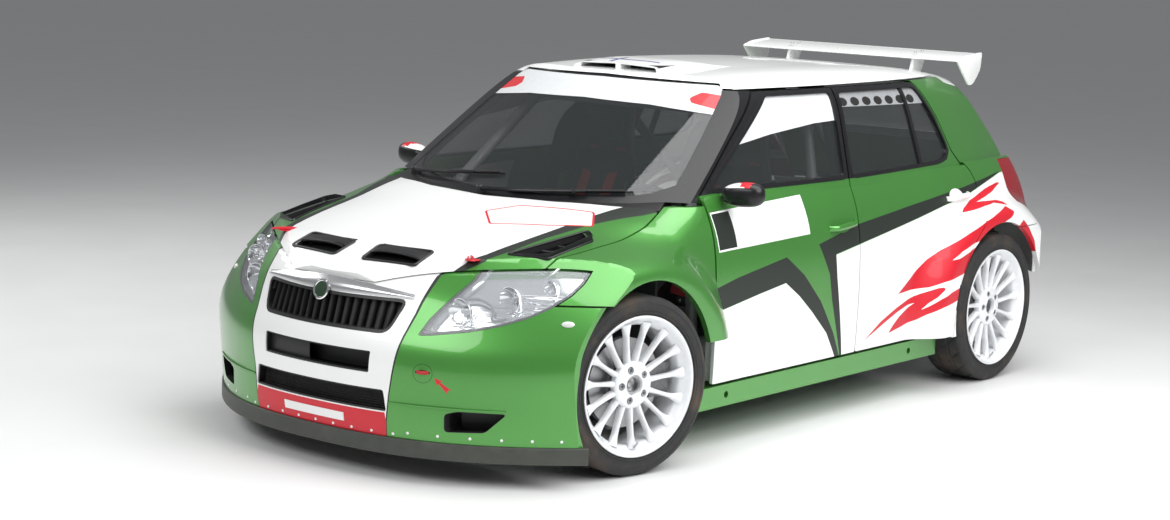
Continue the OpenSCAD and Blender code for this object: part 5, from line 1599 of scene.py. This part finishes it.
xs, zs = np.linspace(-700, 700, 91), np.linspace(884, 1314, 30)
g_ = np.array([[(x, 0, z) for z in zs] for x in xs], float)
a = g_.copy()
a[:, :, 1] = screen_y(g_[:, :, 0], g_[:, :, 2]) + 4
ws = between("windscreen_glass", a, a + (0, 8.5, 0))
screen2 = rounded(screen_line, 26)
keep(ws, prism(screen2, "y", -1300, 0, -0.3))
base_material(ws, SCREEN)
band = [(-700, 1178), (-540, 1200), (-300, 1222), (0, 1230), (300, 1222), (540, 1200), (700, 1178), (700, 1320),
        (-700, 1320)]
frit_low = rounded([(-700, 850), (700, 850), (700, 1000), (560, 925), (300, 908), (0, 904), (-300, 908),
                    (-560, 925), (-700, 1000)], 30)
paint(ws, frit_low, "y", GLOSS, -1300, 0)
paint(ws, band, "y", BAND, -1300, 0)
for s in (1, -1):
    c = [(420, 1252), (440, 1236), (560, 1214), (700, 1200), (700, 1268), (560, 1262), (446, 1274)]
    paint(ws, rounded(c if s > 0 else mirror_line(c), 8), "y", BANDRED, -1300, 0)
paint(ws, [(-700, 1286), (-480, 1300), (0, 1306), (480, 1300), (700, 1286), (700, 1340), (-700, 1340)], "y",
      GLOSS, -1300, 0)
done(ws, "body", ["windscreen"])

parts = []
o = cabin_left(0, 95, -1000, 300)
keep(o, behind_screen(2), block((300, -1000, 905), (900, 300, 1284)))
cut(o, prism(front_door2, "x", 380, 1000, GAP),
    prism([(100, 0), (400, 0), (400, 1500), (100, 1500)], "x", 380, 1000),
    prism(screen2, "y", -1300, -200, 0))
parts.append(o)
o = cabin_left(30, 62, 150, 420)
keep(o, prism([(205, 900), (285, 900), (335, 1330), (255, 1330)], "x", 380, 1000), behind_screen(2))
post = block((690, 190, 231.4), (742, 300, 920))
gy, gz = np.linspace(180, 310, 12), np.linspace(200, 925, 40)
YY, ZZ = np.meshgrid(gy, gz, indexing="ij")
XX = side_x(YY, ZZ)
for t_ in (o, post):
    cut(t_, between("cutter", np.stack([XX + 40, YY, ZZ], 2), np.stack([XX - 58, YY, ZZ], 2)))
    parts.append(t_)
left = join("pl", [base_material(p_, GLOSS) for p_ in parts])
right_ = mirrored(left, "pr")
done(join("pillar_set", [left, right_]), "body", ["pillars"])

# ---------------------------------------------------------------- cowl and wipers
cw = inside_front(8)
cut(cw, inside_front(22))
cowl_half = [(300, -1063), (500, -991), (664, -903), (640, -842), (480, -930), (300, -1000)]
cowl_line = [(0, -1103)] + cowl_half + [(0, -1050)] + [(-x, y) for x, y in cowl_half[::-1]]
keep(cw, prism(cowl_line, "z", 500, 1000, -0.5))
cut(cw, behind_screen(0.5))
parts = [base_material(cw, BLACK)]
for x0, x1, z0, z1 in ((-60, 520, 900, 932), (-560, -20, 912, 958)):
    blade, arm = [], []
    for t_ in np.linspace(0, 1, 25):
        x, z = x0 + (x1 - x0) * t_, z0 + (z1 - z0) * t_
        blade.append((x, float(screen_y(x, z)) - 6, z))
        lift = 22 * math.sin(math.pi * min(1, t_ * 1.15))**0.8 if t_ < 0.86 else 9
        arm.append((x, float(screen_y(x, z)) - 14 - lift, z + 4))
    parts.append(base_material(pipe("blade", blade[5:], 4.0, 8), BLACK))
    parts.append(base_material(pipe("spoiler", [(p[0], p[1] - 7, p[2] + 5) for p in blade[6:-1]], 5.0, 8),
                               BLACK))
    parts.append(base_material(pipe("arm", arm[:19], np.linspace(9, 5, 19), 10), GLOSS))
    parts.append(base_material(lathe("pivot", [(-30, 0.5), (-30, 15), (4, 15), (10, 10), (12, 0.5)], 28,
                                     (arm[0][0], arm[0][1], arm[0][2] + 2), "z"), BLACK))
    parts.append(base_material(soft_box("joint", (arm[16][0], arm[16][1] + 6, arm[16][2]), (30, 16, 14), 3),
                               BLACK))
done(join("wiper_set", parts), "body", ["wipers"])


# ---------------------------------------------------------------- wheels
def wheel_matrix(side, y):
    s = 1 if side == "left" else -1
    m = Matrix.Translation(Vector((s * WHEEL_X, y, WHEEL_Z)) * K)
    if s < 0:
        m = m @ Matrix.Rotation(math.pi, 4, "Z")
    if y < 0:
        p = Vector((s * KING_X, y, 0)) * K
        m = Matrix.Translation(p) @ Matrix.Rotation(math.radians(STEER), 4, "Z") @ Matrix.Translation(-p) @ m
    return m


def make_rim():
    r, w = 248.0, 205.0
    prof = [(-w / 2 + 2, r - 2), (-w / 2 + 2, r + 1.5), (-w / 2 + 6, r + 2.5), (-w / 2 + 12, r - 2),
            (-w / 2 + 20, r - 12), (-w / 2 + 40, r - 20),
            (w / 2 - 46, r - 30), (w / 2 - 26, r - 20), (w / 2 - 16, r - 6), (w / 2 - 10, r + 0.5),
            (w / 2 - 6, r + 2.5), (w / 2 - 2, r + 2.0),
            (w / 2 - 0.5, r - 1), (w / 2 - 2, r - 6), (w / 2 - 8, r - 11), (w / 2 - 16, r - 16),
            (w / 2 - 26, r - 22), (w / 2 - 34, r - 30),
            (w / 2 - 44, r - 36), (-w / 2 + 40, r - 26), (-w / 2 + 18, r - 17), (-w / 2 + 6, r - 8)]
    parts = [lathe("barrel", prof, 128)]
    # one spoke, swept from the hub to the lip, then repeated
    rs = np.linspace(66, r - 24, 22)
    front, rear = [], []
    for q in rs:
        t = (q - 66) / (r - 90)
        half = 13.5 - 5.5 * math.sin(math.pi * min(1, t * 1.02))**0.8 + 6.5 * max(0, t - 0.72)**1.2 * 6
        face = w / 2 - 40 + 21 * t**1.6
        depth = 30 - 8 * t
        rowf, rowb = [], []
        for k in (-1, -0.86, -0.45, 0, 0.45, 0.86, 1):
            drop = 9 * abs(k)**3.2
            rowf.append((face - drop, k * half, q))
            rowb.append((face - depth + 2 * (1 - abs(k)), k * half * 0.82, q))
        front.append(rowf)
        rear.append(rowb)
    sp0 = between("spoke", np.array(front), np.array(rear))
    for i in range(15):
        o = sp0.copy()
        o.data = sp0.data.copy()
        SCENE.collection.objects.link(o)
        o.data.transform(Matrix.Rotation(2 * math.pi * (i + 0.5) / 15, 4, "X"))
        parts.append(o)
    bpy.data.objects.remove(sp0)
    hub = lathe("hub", [(w / 2 - 66, 35), (w / 2 - 32, 35), (w / 2 - 29, 37.5), (w / 2 - 29, 42),
                        (w / 2 - 31, 46), (w / 2 - 33, 68), (w / 2 - 35, 78), (w / 2 - 40, 83),
                        (w / 2 - 50, 84), (w / 2 - 66, 80)], 120)
    for i in range(5):
        a = 2 * math.pi * (i + 0.5) / 5
        c = barrel(w / 2 - 52, w / 2, 56 * math.cos(a), 56 * math.sin(a), 13.5, 32)
        cut(hub, c)
    parts.append(hub)
    for o in parts:
        base_material(o, RIM)
    for i in range(5):
        a = 2 * math.pi * (i + 0.5) / 5
        nut = lathe("nut", [(w / 2 - 54, 0.5), (w / 2 - 54, 11.5), (w / 2 - 48, 11.5), (w / 2 - 47, 9.6),
                            (w / 2 - 34, 9.2), (w / 2 - 33, 6.5), (w / 2 - 40, 5.5), (w / 2 - 40, 0.5)], 6,
                    (0, 56 * math.cos(a), 56 * math.sin(a)))
        parts.append(base_material(nut, STEEL))
    parts.append(base_material(lathe("hub_cup",
                                     [(w / 2 - 70, 0.5), (w / 2 - 70, 34.6), (w / 2 - 44, 34.6),
                                      (w / 2 - 44, 27), (w / 2 - 62, 25), (w / 2 - 64, 12), (w / 2 - 56, 10),
                                      (w / 2 - 55, 0.5)], 48), STEEL))
    parts.append(base_material(lathe("disc", [(6, 60), (6, 158), (14, 160), (14, 60)], 120), DISC))
    parts.append(base_material(lathe("disc2", [(-10, 60), (-10, 160), (-2, 158), (-2, 60)], 120), DISC))
    parts.append(base_material(lathe("bell", [(-12, 46), (-12, 96), (30, 92), (34, 50), (34, 1), (-10, 1)], 72),
                               CAST))
    for i in range(30):
        a = 2 * math.pi * i / 30
        o = pipe("vane", [(2, 70 * math.cos(a), 70 * math.sin(a)),
                          (2, 150 * math.cos(a + 0.2), 150 * math.sin(a + 0.2))], 4, 5)
        parts.append(base_material(o, DISC))
    v = pipe("valve", [(w / 2 - 20, 0, -r + 30), (w / 2 - 8, 0, -r + 42), (w / 2 - 2, 0, -r + 52)],
             [4.5, 4, 3.2], 10)
    parts.append(base_material(v, STEEL))
    return join("rim_master", parts)


def make_tyre():
    r, w, k = 248.0, 205.0, 319.0
    prof = [(-w / 2 + 14, r + 2), (-w / 2 + 6, r + 5), (-w / 2 + 2, r + 14), (-w / 2, r + 30),
            (-w / 2 + 1, k - 24), (-w / 2 + 4, k - 14), (-w / 2 + 9, k - 7), (-w / 2 + 16, k - 2.5)]
    tread = np.linspace(-w / 2 + 22, w / 2 - 22, 41)
    prof2 = prof + [(x, k - 0.6 * (abs(x) / 80)**3 - 0.2) for x in tread] + [(-a, b) for a, b in prof[::-1]]
    prof2 += [(w / 2 - 18, r + 8), (-w / 2 + 18, r + 8)]
    p = np.array(prof2)
    n = 288
    V = []
    m = len(p)
    for i in range(n):
        t = 2 * math.pi * i / n
        for j in range(m):
            x, q = p[j]
            if 8 <= j < 8 + 41:
                u = x
                depth = 0.0
                if min(abs(u - 34), abs(u + 34)) < 4.2:
                    depth = 6.5
                ph = (i + u * 0.11 * (1 if u > 0 else -1) * 1.3) % 12
                if ph < 1.3 and 10 < abs(u) < 84:
                    depth = max(depth, 5.0)
                q -= depth
            V.append((x, q * math.cos(t), q * math.sin(t)))
    f = []
    for i in range(n):
        j = (i + 1) % n
        for a in range(m):
            b = (a + 1) % m
            f.append((i * m + a, i * m + b, j * m + b, j * m + a))
    o = outward(add_mesh("tyre", V, f))
    base_material(o, RUBBER)
    parts = [o]
    for q, d in ((k - 26, 1.6), (r + 22, 1.4), (r + 12, 1.2)):
        parts.append(base_material(lathe("bead", [(w / 2 - 2.6, q - 2.6), (w / 2 + 0.2, q - 1.4),
            (w / 2 + 0.2, q + 1.4), (w / 2 - 2.6, q + 2.6)], 144), RUBBER))
    return join("tyre_master", parts)


rim_master, tyre_master = make_rim(), make_tyre()
for where, y in (("front", FRONT_Y), ("rear", REAR_Y)):
    for side in ("left", "right"):
        body = "wheel_" + where[0] + side[0]
        m = wheel_matrix(side, y)
        for master, kind, turn in ((rim_master, "rim", 0.0), (tyre_master, "tyre", 0.0)):
            o = bpy.data.objects.new("%s_%s_%s_wheel" % (kind, where, side), master.data.copy())
            SCENE.collection.objects.link(o)
            o.data.transform(m)
            done(o, body, ["%s_%s_%s" % (kind, where, side)], angle=38)
bpy.data.objects.remove(rim_master)
bpy.data.objects.remove(tyre_master)


# ---------------------------------------------------------------- seats, harness and steering wheel
def seat_shell(name, cx, cy):
    """Composite bucket: a wrapped shell from the cushion front up to the head wings."""
    st = [(-470, 372, 0.0), (-420, 376, 0.0), (-300, 368, 0.0), (-180, 362, 0.0), (-90, 364, 0.0),
          (-40, 392, 0.1), (-12, 450, 0.3), (10, 540, 0.5),
          (30, 640, 0.65), (52, 750, 0.8), (74, 860, 0.9), (90, 950, 1.0), (100, 1030, 1.0), (108, 1100, 1.0),
          (116, 1160, 1.0)]
    side = [96, 104, 96, 108, 132, 150, 158, 160, 150, 128, 120, 140, 150, 120, 50]
    half = [205, 208, 208, 206, 204, 204, 206, 210, 214, 216, 214, 196, 176, 160, 140]
    a, b = [], []
    for i, (y, z, back) in enumerate(st):
        p0, p1 = st[max(0, i - 1)], st[min(len(st) - 1, i + 1)]
        d = np.array([p1[0] - p0[0], p1[1] - p0[1]], float)
        d /= np.linalg.norm(d)
        n = np.array([-d[1], d[0]])
        ra, rb = [], []
        for k in np.linspace(-1, 1, 25):
            e = abs(k)
            lift = side[i] * max(0, (e - 0.55) / 0.45)**1.7
            x = half[i] * math.copysign(min(1, e * 1.12)**0.9, k) if e > 0 else 0
            base = np.array([y, z]) + n * lift
            ra.append((cx + x, cy + base[0], base[1]))
            t = 9
            rb.append((cx + x + 5 * math.copysign(1 if e > 0.6 else 0, k), cy + base[0] - n[0] * t,
                       base[1] - n[1] * t))
        a.append(ra)
        b.append(rb)
    o = between(name, np.array(a), np.array(b))
    sub = o.modifiers.new("s", "SUBSURF")
    sub.levels = 1
    bpy.context.view_layer.update()
    o.data = bpy.data.meshes.new_from_object(o.evaluated_get(bpy.context.evaluated_depsgraph_get()))
    o.modifiers.clear()
    return base_material(o, SHELL)


def pad(name, cx, cy, pts, half, thick, mat, crown_=10):
    """Crowned cushion over a run of points, sides pulled in, with a sewn channel along each third."""
    n, m = len(pts), 21
    top, low = [], []
    for i, (y, z) in enumerate(pts):
        p0, p1 = pts[max(0, i - 1)], pts[min(n - 1, i + 1)]
        d = np.array([p1[0] - p0[0], p1[1] - p0[1]], float)
        d /= np.linalg.norm(d)
        nn = np.array([-d[1], d[0]])
        u = i / (n - 1)
        end = (1 - abs(2 * u - 1)**4)
        rt, rl = [], []
        for k in np.linspace(-1, 1, m):
            e = (1 - abs(k)**3.4) * end
            seam = 3.2 * (math.exp(-((abs(k) - 0.42) / 0.035)**2)) + 2.6 * math.exp(-(((u * 5) % 1
                - 0.5) / 0.07)**2) * (abs(k) < 0.42)
            h = 4 + (thick + crown_ * (1 - k * k)) * max(0, e)**0.5 - seam
            w = half * (0.97 + 0.03 * end)
            base = np.array([y, z]) + nn * (h + 2)
            rt.append((cx + w * k, cy + base[0], base[1]))
            base = np.array([y, z]) + nn * 2
            rl.append((cx + w * k * 0.985, cy + base[0], base[1]))
        top.append(rt)
        low.append(rl)
    o = between(name, np.array(top), np.array(low))
    sub = o.modifiers.new("s", "SUBSURF")
    sub.levels = 1
    bpy.context.view_layer.update()
    o.data = bpy.data.meshes.new_from_object(o.evaluated_get(bpy.context.evaluated_depsgraph_get()))
    o.modifiers.clear()
    base_material(o, mat)
    return o


def run_points(a, n):
    a = np.array(a, float)
    s = np.concatenate([[0], np.cumsum(np.linalg.norm(np.diff(a, axis=0), axis=1))])
    t = np.linspace(0, s[-1], n)
    return [(float(np.interp(q, s, a[:, 0])), float(np.interp(q, s, a[:, 1]))) for q in t]


def strap(name, path, width, side_dir, thick=2.4):
    """Flat webbing along a path; side_dir is across it."""
    p = np.array(path, float)
    s = np.array(side_dir, float)
    s /= np.linalg.norm(s)
    q = np.concatenate([[0], np.cumsum(np.linalg.norm(np.diff(p, axis=0), axis=1))])
    t = np.linspace(0, q[-1], 34)
    c = np.stack([np.interp(t, q, p[:, k]) for k in range(3)], 1)
    for _ in range(3):
        c[1:-1] = (c[:-2] + 2 * c[1:-1] + c[2:]) / 4
    d = np.gradient(c, axis=0)
    d /= np.linalg.norm(d, axis=1)[:, None]
    n = np.cross(d, s)
    n /= np.linalg.norm(n, axis=1)[:, None]
    a = np.stack([c + s * width * k + n * thick / 2 for k in (-0.5, -0.25, 0, 0.25, 0.5)], 1)
    b = np.stack([c + s * width * k - n * thick / 2 for k in (-0.5, -0.25, 0, 0.25, 0.5)], 1)
    return base_material(between(name, a, b), WEB)


for s, side in ((1, "left"), (-1, "right")):
    cx, cy = 340 * s, -35
    sh = seat_shell("seat_shell_" + side, cx, cy)
    rails = []
    for k in (-1, 1):
        rails.append(base_material(soft_box("rail", (cx + k * 170, cy - 220, 262), (26, 400, 160), 4), STEEL))
    shell = join("seat_shell_" + side, [sh] + rails)
    done(shell, "body", ["bucket_seats"] if s > 0 else [], angle=40)
    done(pad("seat_cushion_" + side, cx, cy, run_points([(-455, 376), (-300, 370), (-180, 364), (-100, 366)],
        22), 160, 26, FABRIC), "body")
    done(pad("seat_back_pad_" + side, cx, cy, run_points([(-2, 490), (30, 640), (74, 860), (92, 960)], 26), 158,
             24, FABRIC), "body")
    done(pad("seat_head_pad_" + side, cx, cy, run_points([(97, 1000), (112, 1130)], 12), 120, 26, FABRIC_G),
         "body")
    for k, nm in ((-1, "inner"), (1, "outer")):
        o = pad("seat_bolster_%s_%s" % (nm, side), cx + k * 178, cy - 26,
                run_points([(20, 600), (58, 770), (78, 860)], 16), 24, 34, FABRIC_G, 14)
        done(o, "body")
    belts = []
    for k in (-1, 1):
        belts.append(strap("shoulder", [(cx + k * 70, 215, 1190), (cx + k * 72, 96 + cy + 20, 1020),
                                        (cx + k * 66, cy - 2, 780), (cx + k * 52, cy - 78, 560),
                                        (cx + k * 26, cy - 150, 462)], 50, (1, 0, 0)))
        belts.append(strap("lap", [(cx + k * 205, cy - 60, 470), (cx + k * 150, cy - 128, 462),
                                   (cx + k * 80, cy - 158, 462), (cx + k * 26, cy - 160, 458)], 46,
                                   (0, 0.5, 1)))
    buckle = lathe("buckle", [(-6, 0.5), (-6, 26), (-2, 30), (6, 30), (10, 26), (11, 14), (13, 0.5)], 36,
                   (cx, cy - 158, 458), "z")
    belts.append(base_material(buckle, STEEL))
    done(join("harness_" + side, belts), "body", angle=45)

# steering wheel, built flat and tilted into place
parts = []
pth = []
for t in np.linspace(0, 2 * np.pi, 73)[:-1]:
    flat = 1 - 0.06 * max(0, -math.sin(t))**6
    pth.append((160 * math.cos(t), 160 * math.sin(t) * flat, 0))
v, f = [], []
for i, q_ in enumerate(pth):
    a_, b_ = np.array(pth[i - 1]), np.array(pth[(i + 1) % 72])
    d = (b_ - a_) / np.linalg.norm(b_ - a_)
    nrm = np.array([-d[1], d[0], 0])
    for u in np.linspace(0, 2 * np.pi, 17)[:-1]:
        r = 13.5 + 1.5 * math.sin(8 * u / 2)**2
        v.append(np.array(q_) + nrm * r * math.cos(u) + np.array([0, 0, 1]) * r * math.sin(u))
for i in range(72):
    j = (i + 1) % 72
    for k in range(16):
        l = (k + 1) % 16
        f.append((i * 16 + k, i * 16 + l, j * 16 + l, j * 16 + k))
parts.append(base_material(outward(add_mesh("rim", v, f)), SUEDE))
for a_ in (90, 210, 330):
    c, s_ = math.cos(math.radians(a_)), math.sin(math.radians(a_))
    a2, b2 = [], []
    for q_ in np.linspace(24, 150, 12):
        hw = 20 - 7 * math.sin(math.pi * (q_ - 24) / 126)
        a2.append([(q_ * c - k * hw * s_, q_ * s_ + k * hw * c, 4) for k in (-1, -0.5, 0, 0.5, 1)])
        b2.append([(q_ * c - k * hw * s_, q_ * s_ + k * hw * c, -2) for k in (-1, -0.5, 0, 0.5, 1)])
    parts.append(base_material(between("spoke", np.array(a2), np.array(b2)), GLOSS))
parts.append(base_material(lathe("boss", [(-12, 0.5), (-12, 38), (6, 42), (12, 38), (12, 30), (9, 26),
                                          (11, 0.5)], 48, axis="z"), SUEDE))
for a_ in range(6):
    parts.append(base_material(lathe("bolt", [(10, 0.3), (10, 4), (14, 3.6), (14.4, 0.3)], 12,
                                     (33 * math.cos(a_ * math.pi / 3), 33 * math.sin(a_ * math.pi / 3), 0),
                                     "z"), STEEL))
for a_, mt in ((-1, RED), (1, BLUE)):
    parts.append(base_material(lathe("button", [(4, 0.3), (4, 8), (9, 7), (10, 0.3)], 20, (a_ * 58, 8, 0), "z"),
                               mt))
wheel = join("steering_wheel_detailed", parts)
moved(wheel, Matrix.Translation(Vector((340, -503, 761.5)) * K) @ Matrix.Rotation(math.radians(-72.4), 4, "X"))
done(wheel, "helm", ["steering_wheel"], angle=40)

# dash details: pods, switches, shift lever and hand lever
parts = []
for k, (x, z, w_, h_) in enumerate(((330, 806, 170, 80), (0, 790, 190, 120), (-320, 800, 210, 70))):
    parts.append(base_material(soft_box("pod", (x, -690, z), (w_, 30, h_), 10), BLACK))
for i in range(10):
    x = -72 + (i % 5) * 36
    z = 812 - (i // 5) * 40
    parts.append(base_material(lathe("switch", [(0, 0.3), (0, 7), (9, 5), (10, 0.3)], 14, (x, -674, z), "y"),
                               STEEL if i % 3 else RED))
parts.append(base_material(pipe("shift_lever",
                                [(70, -560, 302), (66, -545, 420), (60, -535, 560), (58, -532, 600)],
                                [12, 10, 8, 8], 14), CAST))
parts.append(base_material(pipe("hand_lever", [(100, -470, 302), (98, -462, 430), (96, -470, 590)], [11, 9, 9],
                                14), CAST))
done(join("dash_fittings", parts), "body")


# ---------------------------------------------------------------- carried-over CAD nodes
def dress(node, *mats):
    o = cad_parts.get(node)
    if o is None:
        return
    for i, slot in enumerate(o.material_slots):
        slot.material = mats[min(i, len(mats) - 1)]


dress("sills", GREEN)
dress("floor_pan", FLOORPAN)
dress("front_frame", FLOORPAN)
dress("engine_block", CAST)
dress("exhaust", STEEL)
dress("roll_cage", CAGE)
dress("dashboard", SUEDE)
dress("suspension", CAST)
for n in ("knuckle_left", "knuckle_right"):
    dress(n, CAST, CALIPER)

# ---------------------------------------------------------------- studio, lights and camera
rim_points = [(120.0 * math.cos(a), 120.0 * math.sin(a), 0.0) for a in np.linspace(0, 2 * math.pi, 97)[:-1]]
fl = bpy.data.meshes.new("studio_floor")
fl.from_pydata(rim_points, [], [tuple(range(96))])
fl.materials.append(FLOOR)
fo = bpy.data.objects.new("studio_floor", fl)
SCENE.collection.objects.link(fo)

world = bpy.data.worlds.new("studio")
world.use_nodes = True
SCENE.world = world
bg = world.node_tree.nodes["Background"]
bg.inputs["Color"].default_value = (0.82, 0.83, 0.85, 1)
bg.inputs["Strength"].default_value = 0.26
SCENE.view_settings.view_transform = "Standard"


def area(name, loc, target, size, size_y, power, colour=(1, 1, 1)):
    d = bpy.data.lights.new(name, "AREA")
    d.shape = "RECTANGLE"
    d.size, d.size_y, d.energy, d.color = size, size_y, power, colour
    o = bpy.data.objects.new(name, d)
    o.location = loc
    o.rotation_euler = (Vector(target) - Vector(loc)).to_track_quat("-Z", "Y").to_euler()
    SCENE.collection.objects.link(o)
    return o


area("overhead_softbox", (2.3, -0.2, 4.4), (0.6, 0, 0), 4.4, 6.5, 340)
area("side_softbox", (6.5, -1.5, 3.6), (0, 0, 0.5), 5.0, 2.0, 130)
area("front_softbox", (-0.5, -6.5, 4.4), (0, -1.0, 0.5), 5.0, 2.4, 165)
area("far_softbox", (-5.5, -1.5, 3.6), (0, 0, 0.7), 4.0, 2.0, 90)

# the photo's camera as fitted: azimuth, elevation and roll in degrees, target and distance in metres
SENSOR_MM, FOCAL_PX, PHOTO_W_PX = 36.0, 2269, 1170
az, el, roll = (math.radians(v) for v in (38.72, 8.54, 1.99))
target, dist = Vector((-0.367, -0.038, 0.494)), 9.56
back = Vector((math.sin(az) * math.cos(el), -math.cos(az) * math.cos(el), math.sin(el)))
right = (-back).cross(Vector((0, 0, 1))).normalized()
up = right.cross(-back)
r2 = math.cos(roll) * right + math.sin(roll) * up
u2 = -math.sin(roll) * right + math.cos(roll) * up
cam_data = bpy.data.cameras.new("camera")
cam_data.sensor_width = SENSOR_MM
cam_data.lens = SENSOR_MM * FOCAL_PX / PHOTO_W_PX
cam = bpy.data.objects.new("camera", cam_data)
SCENE.collection.objects.link(cam)
rot = Matrix((r2, u2, back)).transposed().to_4x4()
cam.matrix_world = Matrix.Translation(target + back * dist) @ rot
SCENE.camera = cam
